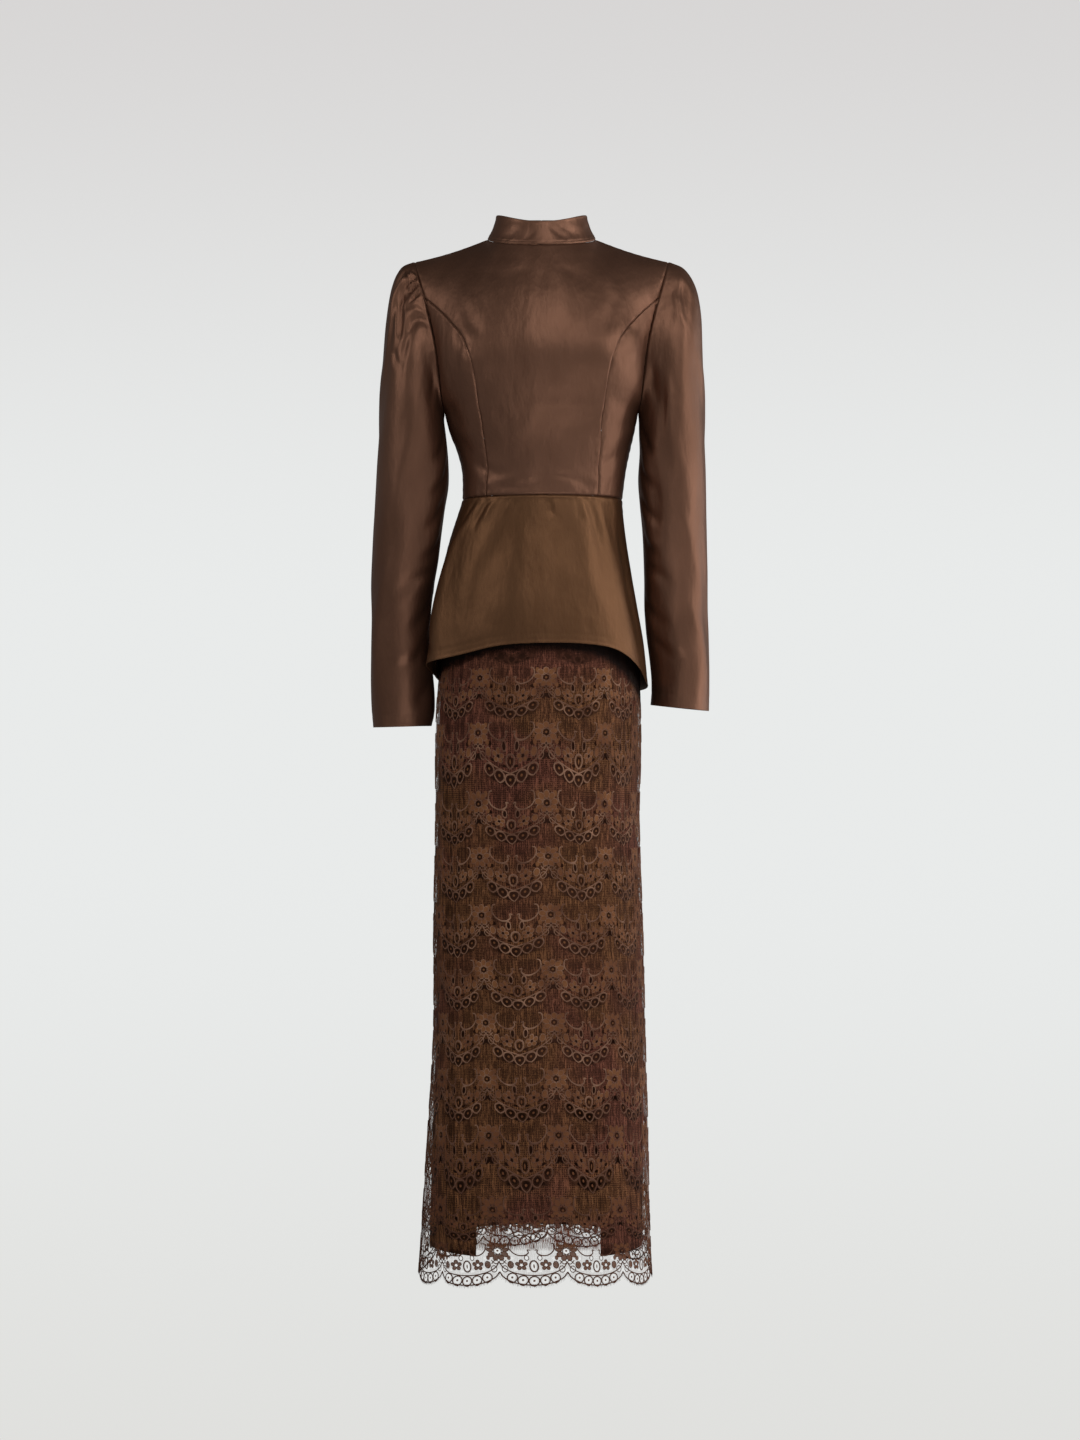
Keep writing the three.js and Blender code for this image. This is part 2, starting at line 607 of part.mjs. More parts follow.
// A point on a level section: turn goes round from the centre front, positive to the wearer's left.
function section(table, squareness, z, turn, inset = 0) {
  const side = turn < 0 ? "right" : "left";
  const half = Math.abs(turn) <= 90 ? "front" : "back";
  const angle = radians(turn);
  const level = Math.abs(Math.cos(angle)) ** squareness * Math.sign(Math.cos(angle));
  return [
    (read(table, "z", side, z) - inset) * Math.sin(angle),
    -(read(table, "z", half, z) - inset) * level,
    z,
  ];
}

function onPeplum(down, turn) {
  const z = blend(PEPLUM[0].z, read(PEPLUM_HEM, "turn", "z", turn), down);
  const plain = section(PEPLUM, SQUARENESS, z, turn);
  const free = Math.max(0, (PEPLUM_TOP_FREE - z) / (PEPLUM_TOP_FREE - PEPLUM_HEM[0].z));
  const out = PEPLUM_FLUTES.reduce(
    (sum, flute) => sum + flute.out * bell((turn - flute.turn) / flute.wide),
    0,
  );
  const away = unit([plain[0], plain[1], 0]);
  return add(plain, scaled(away, out * free ** 1.1));
}

function peplumPanel(fromTurn, toTurn, columns) {
  const range = [
    [0, 1],
    [-180, 180],
  ];
  const at = (down, turn) => {
    const point = onPeplum(down, turn);
    const facing = facingOf(onPeplum, down, turn, range, [point[0], point[1], 0]);
    if (Math.abs(turn) === 90) facing[1] = 0;
    if (Math.abs(turn) === 180) facing[0] = 0;
    const way = unit(facing);
    const inward = turn === fromTurn ? 1 : turn === toTurn ? -1 : 0;
    const angle = radians(turn);
    const clear = [Math.cos(angle), Math.sin(angle), 0].map((value) => (value * inward * SEAM) / 2);
    return { point: add(point, clear), facing: way };
  };
  return shell(steps(PEPLUM_ROWS), steps(columns, fromTurn, toTurn), at, SATIN);
}

// ---- Skirt ----------------------------------------------------------------------------------------------------

// Height of the lace's scalloped edge: round tips with a cusp between each two.
function laceHem(turn) {
  const along = (turn / 360) * SCALLOPS - SCALLOP_PHASE;
  const fromTip = Math.abs(along - Math.round(along)) * 2;
  const rise = SCALLOP_DEEP * (1 - Math.sqrt(1 - 0.98 * fromTip * fromTip));
  return LACE_TIP_Z - LACE_TIP_DROP * Math.sin(radians(turn)) ** 2 + rise;
}

function onLace(down, turn) {
  const z = blend(SKIRT_TOP_Z - SEAM, laceHem(turn), down);
  const plain = section(SKIRT, SKIRT_SQUARENESS, z, turn);
  const onFront = plain[1] < 0 ? 1 : 0;
  const aside = (plain[0] - read(LACE_FOLD, "z", "x", z)) / LACE_FOLD_WIDTH;
  const fade = Math.min(1, Math.max(0, (-z - 560) / 150));
  const ripple = LACE_FOLD_DEPTH * fade * onFront * bell(aside);
  return add(plain, scaled(unit([plain[0], plain[1], 0]), ripple));
}

function onLining(down, turn) {
  const z = blend(SKIRT_TOP_Z - SEAM, LINING_HEM_Z, down);
  return section(SKIRT, SKIRT_SQUARENESS, z, turn, read(SKIRT, "z", "ease", z));
}

function skirtPanel(surface, levels, columns, fromTurn, toTurn, thick) {
  const range = [
    [0, 1],
    [-180, 270],
  ];
  const at = (down, turn) => {
    const wrapped = turn > 180 ? turn - 360 : turn;
    const point = surface(down, wrapped);
    const facing = facingOf(surface, down, wrapped, range, [point[0], point[1], 0]);
    if (Math.abs(wrapped) === 90) facing[1] = 0;
    if (Math.abs(wrapped) === 180) facing[0] = 0;
    const inward = turn === fromTurn ? 1 : turn === toTurn ? -1 : 0;
    const angle = radians(turn);
    const clear = [Math.cos(angle), Math.sin(angle), 0].map((value) => (value * inward * SEAM) / 2);
    return { point: add(point, clear), facing: unit(facing) };
  };
  return shell(levels, steps(columns, fromTurn, toTurn), at, thick);
}

// The elastic band stands just inside the tunic's waist and carries the lace and the lining on its lower edge.
function waistband() {
  const turns = steps(31, -180, 168.75);
  const at = (down, turn) => {
    const z = blend(BAND_TOP_Z, SKIRT_TOP_Z, down);
    const inside = SATIN + SEAM;
    const top = section(PEPLUM, SQUARENESS, z, turn, inside);
    const low = section(SKIRT, SKIRT_SQUARENESS, SKIRT_TOP_Z, turn);
    const point = mixed(top, low, down);
    point[2] = z;
    return { point, facing: unit([point[0], point[1], 0]) };
  };
  return shell([0, 0.5, 1], turns, at, BAND, true);
}

// ---- Solids and meshes ----------------------------------------------------------------------------------------

const wasm = await Module();
wasm.setup();

function geometryOf({ points, faces }) {
  const geometry = new THREE.BufferGeometry();
  geometry.setAttribute("position", new THREE.Float32BufferAttribute(points.flat(), 3));
  geometry.setIndex(faces.flat());
  geometry.computeVertexNormals();
  return geometry;
}

function solidOf({ points, faces }) {
  const vertProperties = new Float32Array(points.flat());
  return new wasm.Manifold(
    new wasm.Mesh({ numProp: 3, vertProperties, triVerts: new Uint32Array(faces.flat()) }),
  );
}

function surfaceOf(solid) {
  const mesh = solid.getMesh();
  const corners = mesh.vertProperties;
  const points = Array.from({ length: mesh.numVert }, (_, k) => [...corners.slice(3 * k, 3 * k + 3)]);
  const faces = Array.from({ length: mesh.numTri }, (_, k) => [...mesh.triVerts.slice(3 * k, 3 * k + 3)]);
  return { points, faces };
}

// The slit's cutter: a rounded arch in front of the skirt, extruded from front to back of the front wall.
function slitCutter() {
  const arch = [];
  const low = LINING_HEM_Z - 10;
  const high = LINING_HEM_Z + SLIT.tall;
  const round = SLIT.halfWidth * 0.55; // radius of the arch's upper corners
  for (const share of steps(6)) {
    const turn = (share * Math.PI) / 2;
    arch.push([
      SLIT.halfWidth - round + round * Math.cos(turn),
      high - round + round * Math.sin(turn),
    ]);
  }
  const outline = [[SLIT.halfWidth, low], ...arch];
  const mirrored = outline.map(([x, z]) => [-x, z]).reverse();
  const loop = [...outline, ...mirrored];
  const near = loop.map(([x, z]) => [x, -200, z]);
  const far = loop.map(([x, z]) => [x, -20, z]);
  const count = loop.length;
  const faces = [];
  for (let k = 0; k < count; k++) {
    const next = (k + 1) % count;
    faces.push([k, next, count + next], [k, count + next, count + k]);
    if (k > 0 && k < count - 1) faces.push([0, k + 1, k], [count, count + k, count + k + 1]);
  }
  return { points: [...near, ...far], faces };
}

function liningFront() {
  const plain = skirtPanel(onLining, steps(10), LINING_COLUMNS, -90, 90, LINING);
  let cutter = solidOf(slitCutter());
  if (cutter.volume() < 0) {
    const flipped = slitCutter();
    flipped.faces = flipped.faces.map(([a, b, c]) => [a, c, b]);
    cutter = solidOf(flipped);
  }
  return surfaceOf(solidOf(plain).subtract(cutter));
}

const CLOTHS = {
  satin: new THREE.MeshStandardMaterial({ color: 0x5a3d31, roughness: 0.42, metalness: 0 }),
  lace: new THREE.MeshStandardMaterial({ color: 0x6b4a3a, roughness: 0.75, metalness: 0 }),
  lining: new THREE.MeshStandardMaterial({ color: 0x3c251d, roughness: 0.5, metalness: 0 }),
  elastic: new THREE.MeshStandardMaterial({ color: 0x3a251e, roughness: 0.8, metalness: 0 }),
  metal: new THREE.MeshStandardMaterial({ color: 0x4a3a30, roughness: 0.35, metalness: 0.8 }),
};

const garment = new THREE.Group();

function place(name, cloth, geometry, parent = garment) {
  const mesh = new THREE.Mesh(geometry, CLOTHS[cloth].clone());
  mesh.name = name;
  parent.add(mesh);
}

place("bodice_front", "satin", geometryOf(bodiceFront()));
for (const side of Object.keys(SIDES)) {
  place(`bodice_side_front_${side}`, "satin", geometryOf(bodiceSide(side, "front")));
  place(`bodice_side_back_${side}`, "satin", geometryOf(bodiceSide(side, "back")));
  place(`bodice_back_${side}`, "satin", geometryOf(bodiceBack(side)));
  place(`sleeve_${side}`, "satin", geometryOf(sleeve(side)));
}
place("collar", "satin", geometryOf(collar()));
place("peplum_front", "satin", geometryOf(peplumPanel(-90, 90, 16)));
place("peplum_back_right", "satin", geometryOf(peplumPanel(-180, -90, 8)));
place("peplum_back_left", "satin", geometryOf(peplumPanel(90, 180, 8)));
place("skirt_waistband", "elastic", geometryOf(waistband()));
place("skirt_lining_front", "lining", geometryOf(liningFront()));
place(
  "skirt_lining_back",
  "lining",
  geometryOf(skirtPanel(onLining, steps(10), LINING_COLUMNS, 90, 270, LINING)),
);
const laceColumns = (SCALLOPS * SCALLOP_COLUMNS) / 2;
place(
  "skirt_lace_front",
  "lace",
  geometryOf(skirtPanel(onLace, LACE_LEVELS, laceColumns, -90, 90, LACE)),
);
place(
  "skirt_lace_back",
  "lace",
  geometryOf(skirtPanel(onLace, LACE_LEVELS, laceColumns, 90, 270, LACE)),
);

// ---- Zip slider and pull tab ----------------------------------------------------------------------------------

// The slider's own group: its X is the wearer's left, its Y points up the collar and its Z away from the cloth.
function zipGroup() {
  const group = new THREE.Group();
  const seat = onCollar(ZIP.up, 180);
  const above = onCollar(ZIP.up + 0.2, 180);
  const upward = new THREE.Vector3(...minus(above, seat)).normalize();
  const across = new THREE.Vector3(-1, 0, 0);
  const away = new THREE.Vector3().crossVectors(across, upward);
  group.matrixAutoUpdate = false;
  const lift = away.clone().multiplyScalar(ZIP_CLEAR);
  group.matrix.makeBasis(across, upward, away).setPosition(
    seat[0] + lift.x,
    seat[1] + lift.y,
    seat[2] + lift.z,
  );
  return group;
}

function roundedPlate(wide, tall, round) {
  const shape = new THREE.Shape();
  const [x, y] = [wide / 2, tall / 2];
  shape.moveTo(-x + round, -y);
  shape.lineTo(x - round, -y);
  shape.quadraticCurveTo(x, -y, x, -y + round);
  shape.lineTo(x, y - round);
  shape.quadraticCurveTo(x, y, x - round, y);
  shape.lineTo(-x + round, y);
  shape.quadraticCurveTo(-x, y, -x, y - round);
  shape.lineTo(-x, -y + round);
  shape.quadraticCurveTo(-x, -y, -x + round, -y);
  return shape;
}

function extruded(shape, depth) {
  return new THREE.ExtrudeGeometry(shape, { depth, bevelEnabled: false, curveSegments: 3 });
}

function pointsAndFaces(geometry) {
  const at = geometry.getAttribute("position");
  const seen = new Map();
  const points = [];
  const corner = Array.from({ length: at.count }, (_, k) => {
    const p = [at.getX(k), at.getY(k), at.getZ(k)];
    const key = p.map((value) => value.toFixed(4)).join();
    if (!seen.has(key)) seen.set(key, points.push(p) - 1);
    return seen.get(key);
  });
  const faces = [];
  for (let k = 0; k < corner.length; k += 3) faces.push(corner.slice(k, k + 3));
  return { points, faces };
}

// The slider's plate with the bridge that holds the pull: the bridge is an arch seen from the side.
function zipSlider() {
  const { body, bridge } = ZIP;
  const plate = extruded(roundedPlate(body.wide, body.tall, 1.2), body.thick);
  const side = new THREE.Shape();
  side.moveTo(-bridge.half, -0.4);
  side.lineTo(bridge.half, -0.4);
  side.lineTo(bridge.half, bridge.high - 0.5);
  side.lineTo(bridge.half - 0.5, bridge.high);
  side.lineTo(-bridge.half + 0.5, bridge.high);
  side.lineTo(-bridge.half, bridge.high - 0.5);
  const hole = new THREE.Path();
  const half = bridge.half - bridge.bar;
  hole.moveTo(-half, 0);
  hole.lineTo(-half, bridge.high - bridge.bar);
  hole.lineTo(half, bridge.high - bridge.bar);
  hole.lineTo(half, 0);
  side.holes.push(hole);
  const arch = extruded(side, bridge.wide);
  arch.rotateY(Math.PI / 2);
  arch.rotateX(Math.PI / 2);
  arch.translate(-bridge.wide / 2, 0, body.thick);
  const joined = solidOf(pointsAndFaces(plate)).add(solidOf(pointsAndFaces(arch)));
  return geometryOf(surfaceOf(joined));
}

// The pull hangs from the bridge by the bar above its eye, and the bar's middle is its pivot.
function zipPull() {
  const { pull, bridge } = ZIP;
  const bar = pull.thick;
  const shape = new THREE.Shape();
  const half = pull.wide / 2;
  shape.moveTo(-half, bar / 2);
  shape.lineTo(-half, -pull.eyeLong - 1);
  shape.lineTo(-half * 0.7, -pull.long + 1.5);
  shape.quadraticCurveTo(-half * 0.7, -pull.long, 0, -pull.long);
  shape.quadraticCurveTo(half * 0.7, -pull.long, half * 0.7, -pull.long + 1.5);
  shape.lineTo(half, -pull.eyeLong - 1);
  shape.lineTo(half, bar / 2);
  const eye = new THREE.Path();
  eye.moveTo(-pull.eyeWide / 2, -bar / 2);
  eye.lineTo(pull.eyeWide / 2, -bar / 2);
  eye.lineTo(pull.eyeWide / 2, -pull.eyeLong);
  eye.lineTo(-pull.eyeWide / 2, -pull.eyeLong);
  shape.holes.push(eye);
  const tab = extruded(shape, pull.thick);
  const clear = (bridge.high - bridge.bar - pull.thick) / 2;
  tab.translate(0, 0, ZIP.body.thick + clear);
  return tab;
}

const zip = zipGroup();
garment.add(zip);
place("zip_slider", "metal", zipSlider(), zip);
place("zip_pull", "metal", zipPull(), zip);

export default garment;
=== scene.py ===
import bpy
import numpy as np
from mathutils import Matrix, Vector


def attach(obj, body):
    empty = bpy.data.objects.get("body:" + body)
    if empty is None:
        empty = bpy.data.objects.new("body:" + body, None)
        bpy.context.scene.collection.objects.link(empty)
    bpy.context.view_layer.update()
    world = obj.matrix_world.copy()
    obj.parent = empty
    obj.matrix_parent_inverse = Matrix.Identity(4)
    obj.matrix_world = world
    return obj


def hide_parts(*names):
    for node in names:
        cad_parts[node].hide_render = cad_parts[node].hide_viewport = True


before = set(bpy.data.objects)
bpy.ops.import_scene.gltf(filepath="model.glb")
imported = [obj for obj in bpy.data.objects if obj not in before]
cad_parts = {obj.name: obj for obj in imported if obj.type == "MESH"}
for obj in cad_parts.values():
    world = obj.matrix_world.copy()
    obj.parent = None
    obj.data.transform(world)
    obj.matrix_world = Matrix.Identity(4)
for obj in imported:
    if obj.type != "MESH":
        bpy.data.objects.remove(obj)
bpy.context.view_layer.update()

MM = 0.001

# ---- Camera, light and background -----------------------------------------------------------------------------

EYE = (-0.002, -3.1, -0.637)


def set_camera():
    """A level camera in front of the garment, at the height of the peplum's lower part."""
    lens = bpy.data.cameras.new("camera")
    lens.sensor_fit = "VERTICAL"
    lens.sensor_height = 36
    lens.lens = 58.3
    lens.clip_end = 30
    camera = bpy.data.objects.new("camera", lens)
    camera.location = EYE
    camera.rotation_euler = (np.pi / 2, 0, 0)
    bpy.context.scene.collection.objects.link(camera)
    bpy.context.scene.camera = camera
    bpy.context.scene.view_settings.view_transform = "Standard"


set_camera()


class Value:
    """A node's output that takes part in arithmetic: each operation adds one Math node."""

    def __init__(self, graph, socket):
        self.graph = graph
        self.socket = socket

    def math(self, operation, other=None):
        inputs = {0: self} if other is None else {0: self, 1: other}
        return self.graph.node("ShaderNodeMath", {"operation": operation}, inputs).out(0)

    def __add__(self, other):
        return self.math("ADD", other)

    def __radd__(self, other):
        return self.math("ADD", other)

    def __mul__(self, other):
        return self.math("MULTIPLY", other)

    def __rmul__(self, other):
        return self.math("MULTIPLY", other)

    def __sub__(self, other):
        return self.math("SUBTRACT", other)

    def __rsub__(self, other):
        return (self * -1.0) + other

    def __truediv__(self, other):
        return self.math("DIVIDE", other)

    def bounded(self, low, high):
        return self.math("MAXIMUM", low).math("MINIMUM", high)

    def ramp(self, low, high):
        """0 below low and 1 above high, with a soft step between them."""
        inputs = {"Value": self, "From Min": low, "From Max": high}
        settings = {"interpolation_type": "SMOOTHSTEP"}
        return self.graph.node("ShaderNodeMapRange", settings, inputs).out(0)


class Node:
    def __init__(self, graph, node):
        self.graph = graph
        self.node = node

    def out(self, which):
        return Value(self.graph, self.node.outputs[which])


class Graph:
    """The node tree of a new material, or of a new world."""

    def __init__(self, name, owners=None):
        self.owner = (bpy.data.materials if owners is None else owners).new(name)
        self.owner.use_nodes = True
        self.tree = self.owner.node_tree
        self.tree.nodes.clear()

    def node(self, kind, settings=None, inputs=None):
        """A node of that type, with its settings, and each input either linked or set."""
        made = self.tree.nodes.new(kind)
        for name, value in (settings or {}).items():
            setattr(made, name, value)
        for name, value in (inputs or {}).items():
            if isinstance(value, Value):
                self.tree.links.new(value.socket, made.inputs[name])
            else:
                made.inputs[name].default_value = value
        return Node(self, made)

    def place(self, which="Object"):
        return self.node("ShaderNodeTexCoord").out(which)

    def stretched(self, place, scale):
        inputs = {0: place, 1: scale}
        return self.node("ShaderNodeVectorMath", {"operation": "MULTIPLY"}, inputs).out(0)

    def noise(self, place, scale, detail=3.0, rough=0.55):
        inputs = {"Vector": place, "Scale": scale, "Detail": detail, "Roughness": rough}
        return self.node("ShaderNodeTexNoise", None, inputs).out("Fac")

    def mixed(self, share, low, high):
        """The colour low where share is 0 and high where it is 1, each three numbers or a node's colour."""
        low, high = (c if isinstance(c, Value) else (*c, 1) for c in (low, high))
        inputs = {0: share, 6: low, 7: high}
        return self.node("ShaderNodeMix", {"data_type": "RGBA"}, inputs).out(2)

    def attribute(self, name):
        return self.node("ShaderNodeAttribute", {"attribute_name": name}).out("Fac")

    def shaded(self, colour):
        """The colour, darkened towards near black by the painted shadow in the piece's shade attribute."""
        return self.mixed(self.attribute("shade") * 0.96, colour, (0.003, 0.0015, 0.001))

    def bump(self, height, distance, strength=1.0, normal=None):
        inputs = {"Height": height, "Distance": distance, "Strength": strength}
        if normal is not None:
            inputs["Normal"] = normal
        return self.node("ShaderNodeBump", None, inputs).out(0)

    def finish(self, **inputs):
        """Ends the tree in a Principled shader; underscores in the names stand for blanks."""
        named = {name.replace("_", " "): value for name, value in inputs.items()}
        shader = self.node("ShaderNodeBsdfPrincipled", None, named).out(0)
        self.node("ShaderNodeOutputMaterial", None, {"Surface": shader})
        return self.owner


def satin_cloth(name, dark, light, roughness=0.45):
    """Satin: a long-waved change between two browns, broad soft dents in the cloth's hand, and a fine weave."""
    g = Graph(name)
    place = g.place()
    broad = g.noise(g.stretched(place, (1, 1, 0.55)), 9, 2)
    middle = g.noise(g.stretched(place, (1, 1, 0.4)), 38, 3)
    weft = g.noise(g.stretched(place, (1, 1, 6)), 420, 2, 0.7)
    warp = g.noise(g.stretched(place, (5, 5, 1)), 520, 2, 0.7)
    weave = weft * 0.55 + warp * 0.45
    tone = (broad * 0.7 + middle * 0.25 + weave * 0.2).ramp(0.42, 0.78)
    hand = g.bump(broad * 1.6 + middle * 0.5, 0.004)
    fine = g.bump(weave, 0.00012, 0.8, hand)
    return g.finish(
        Base_Color=g.mixed(tone, dark, light),
        Roughness=roughness + middle * 0.06 + weave * 0.04 - 0.05,
        Metallic=0.74 + middle * 0.08,
        Normal=fine,
        Specular_IOR_Level=0.22,
    )


SATIN_CLOTH = satin_cloth("brown satin", (0.19, 0.093, 0.058), (0.25, 0.125, 0.08))
# The peplum's copy of the same satin: warmer in tone, and darker than the body's copy to suit the light on the
# peplum, which is painted shade.
WARM_SHADED_SATIN = satin_cloth("brown satin of the peplum", (0.155, 0.074, 0.035), (0.205, 0.101, 0.05))
LINING_CLOTH = satin_cloth("dark lining satin", (0.05, 0.019, 0.011), (0.075, 0.03, 0.018), 0.5)


def elastic_cloth():
    """Woven elastic: upright ribs in a matt dark yarn."""
    g = Graph("elastic")
    place = g.place()
    yarn = g.noise(g.stretched(place, (3, 3, 1)), 700, 2)
    soil = g.noise(place, 30, 2)
    tone = (yarn * 0.6 + soil * 0.4).ramp(0.3, 0.7)
    return g.finish(
        Base_Color=g.mixed(tone, (0.03, 0.014, 0.01), (0.055, 0.028, 0.02)),
        Roughness=0.7 + yarn * 0.2,
        Normal=g.bump(yarn, 0.0003),
        Specular_IOR_Level=0.25,
    )


def zip_metal():
    """Dull bronze plating, lighter where it is rubbed."""
    g = Graph("zip metal")
    place = g.place()
    rub = g.noise(place, 700, 3)
    scratch = g.noise(g.stretched(place, (1, 6, 1)), 1500, 2)
    tone = (rub * 0.7 + scratch * 0.3).ramp(0.35, 0.7)
    return g.finish(
        Base_Color=g.mixed(tone, (0.07, 0.045, 0.032), (0.16, 0.11, 0.08)),
        Roughness=0.28 + scratch * 0.25,
        Metallic=0.9,
        Normal=g.bump(scratch, 0.00004),
    )


ELASTIC_CLOTH = elastic_cloth()
ZIP_METAL = zip_metal()

# The lace's drawing repeats: its map counts repeats across and rows up, and these are a repeat's size and the
# turn and drop that its lower part has in every row above the hem's.
UNIT_WIDE, UNIT_TALL = 80.0, 72.0
SAG, SAG_SLOPE, SAG_LOW, SAG_HIGH = -10.0, 0.31, 20.0, 45.0

# Open places of a repeat, the same to the left and right of its middle: across, up, half width and half height.
OPENINGS = (
    (0, 6.4, 3.7, 3.9), (12.6, 7.3, 3.7, 3.9), (25, 11.2, 3.6, 3.7), (0, 24.8, 2.7, 4.9),
    (37.5, 19.5, 3.2, 3.4), (40, 30.6, 3.0, 2.6), (7.4, 35.4, 1.7, 2.2), (6.6, 18.6, 2.4, 1.5),
    (20.5, 21, 2.3, 1.7), (24.5, 35, 2.6, 2.0), (14, 26.5, 1.7, 1.7), (40, 45, 3.2, 3.2),
    (18.9, 2.6, 2.2, 1.6), (6.3, 1.4, 2.2, 1.6),
)
WINDOW = (13.2, 51.5, 11.5, 9.5)


def lace_net():
    """Fine net: a honeycomb of thread, crossed by close upright threads, with the open places of the drawing left
    bare. Its colour wanders between red and orange browns, and is striped at the sides."""
    g = Graph("lace net")
    place = g.place("UV")
    parts = g.node("ShaderNodeSeparateXYZ", None, {0: place})
    rows = parts.out(1)
    across = ((parts.out(0) + 0.5).math("FRACT") - 0.5).math("ABSOLUTE") * UNIT_WIDE
    up = ((rows + 0.15).math("FRACT") - 0.15) * UNIT_TALL
    above_hem = rows.ramp(0.6, 0.7)
    up = up - (across * SAG_SLOPE + SAG) * (1.0 - up.ramp(SAG_LOW, SAG_HIGH)) * above_hem

    def inside(a, b, wide, tall):
        side, high = (across - a) * (1 / wide), (up - b) * (1 / tall)
        return 1.25 - (side * side + high * high).math("SQRT")

    bare = inside(*OPENINGS[0])
    for opening in OPENINGS[1:]:
        bare = bare.math("MAXIMUM", inside(*opening))
    bare = bare.ramp(0.12, 0.42)
    window = inside(*WINDOW).ramp(0.1, 0.6)
    flat = g.stretched(place, (UNIT_WIDE, UNIT_TALL, 1))
    wander = g.noise(g.stretched(flat, (0.06, 0.06, 1)), 1, 2)
    inputs = {"Vector": flat, "Scale": 1 / 2.1, "Randomness": 0.35}
    cells = g.node("ShaderNodeTexVoronoi", {"feature": "DISTANCE_TO_EDGE"}, inputs).out("Distance")
    upright = g.noise(g.stretched(flat, (0.7, 0.06, 1)), 1, 2, 0.6)
    broad = g.noise(g.stretched(flat, (0.3, 0.012, 1)), 1, 3, 0.6)
    thread = 1.0 - cells.ramp(0.06, 0.18)
    ladder = upright.ramp(0.5, 0.62)
    close = g.attribute("closeness")
    looped = up.ramp(-4, 2) * (1.0 - up.ramp(12, 16)) * (1.0 - across.ramp(24, 36)) * above_hem
    close = close * (1.0 - window * 0.4) * (1.0 - looped * 0.6) * (0.2 + above_hem * 0.8)
    cover = thread.math("MAXIMUM", ladder * 0.8) * close * 1.7 + (wander - 0.5) * 0.2 + close * 0.4
    # Painted shadow: under the peplum's hem the net turns opaque, so its painted near-black shade hides the lining.
    cover = (cover * (1.0 - bare)).math("MAXIMUM", g.attribute("shade"))
    aside = g.node("ShaderNodeSeparateXYZ", None, {0: g.place()}).out(0).math("ABSOLUTE").ramp(0.07, 0.125)
    patch = g.noise(g.place(), 7, 2)
    fleck = g.noise(flat, 0.35, 2)
    warm = g.mixed(patch.ramp(0.4, 0.6), (0.3, 0.108, 0.068), (0.32, 0.139, 0.06))
    deep = g.mixed(patch.ramp(0.4, 0.6), (0.12, 0.041, 0.027), (0.13, 0.053, 0.024))
    stripes = (broad - 0.5) * (0.5 + aside * 2.2)
    tone = (fleck * 0.5 + upright * 0.5 + stripes).ramp(0.36, 0.66)
    return g.finish(
        Base_Color=g.shaded(g.mixed(tone, deep, warm)),
        Roughness=0.66 + fleck * 0.2,
        Alpha=cover.bounded(0.0, 1.0),
        Normal=g.bump(thread + upright, 0.0004),
        Specular_IOR_Level=0.12,
    )


def lace_thread(name, dark, light, cover):
    """Close-stitched thread, as in the lace's flowers and cords, a little darker at the hem."""
    g = Graph(name)
    place = g.place()
    stitch = g.noise(g.stretched(place, (3, 3, 1)), 900, 2, 0.7)
    patch = g.noise(place, 45, 3)
    height = g.node("ShaderNodeSeparateXYZ", None, {0: place}).out(2).ramp(-1.3, -1.15)
    aside = g.node("ShaderNodeSeparateXYZ", None, {0: place}).out(0).math("ABSOLUTE").ramp(0.07, 0.125)
    strong = (0.4 + g.noise(place, 8, 1).ramp(0.38, 0.58) * 0.6) * (1.0 - aside * 0.45)
    tone = (stitch * 0.5 + patch * 0.6).ramp(0.38, 0.72) * (0.15 + height * 0.85) * strong
    # The painted shadow under the peplum's hem darkens the thread too.
    return g.finish(
        Base_Color=g.shaded(g.mixed(tone, dark, light)),
        Roughness=0.55 + patch * 0.2,
        Alpha=(cover + (stitch - 0.5) * 0.9).bounded(0.0, 1.0),
        Normal=g.bump(stitch, 0.0003),
        Specular_IOR_Level=0.15,
    )


LACE_NET = lace_net()
LACE_FILL = lace_thread("lace flowers", (0.2, 0.076, 0.034), (0.36, 0.155, 0.064), 0.95)
LACE_CORD = lace_thread("lace cord", (0.13, 0.055, 0.034), (0.5, 0.28, 0.18), 1.3)


PLANE_AWAY = 5.4


def background_material():
    """A pale studio sweep: brightest behind the middle of the garment, a little darker above and below.
    Heights are carried along straight lines from the room's front to one upright plane behind the garment."""
    g = Graph("background")
    parts = g.node("ShaderNodeSeparateXYZ", None, {0: g.place()})
    away = (parts.out(1) - EYE[1]).math("MAXIMUM", 0.5)
    height = (parts.out(2) - EYE[2]) * PLANE_AWAY / away + EYE[2]
    up = height.ramp(-0.4, 1.3)
    low = 1.0 - height.ramp(-2.6, -0.9)
    paper = g.noise(g.place(), 3, 2)
    # Painted light: the sweep takes no light but glows, and this gradient paints the studio light's fall-off into
    # it.
    middle = g.mixed(up, (0.83, 0.845, 0.84), (0.69, 0.675, 0.67))
    painted_glow = g.mixed(low, middle, (0.755, 0.755, 0.735))
    return g.finish(
        Base_Color=(0, 0, 0, 1),
        Roughness=0.8 + paper * 0.15,
        Emission_Color=painted_glow,
        Emission_Strength=0.98,
        Specular_IOR_Level=0.0,
    )


def link(name, mesh):
    """A new object of that mesh, in the scene."""
    made = bpy.data.objects.new(name, mesh)
    bpy.context.scene.collection.objects.link(made)
    return made


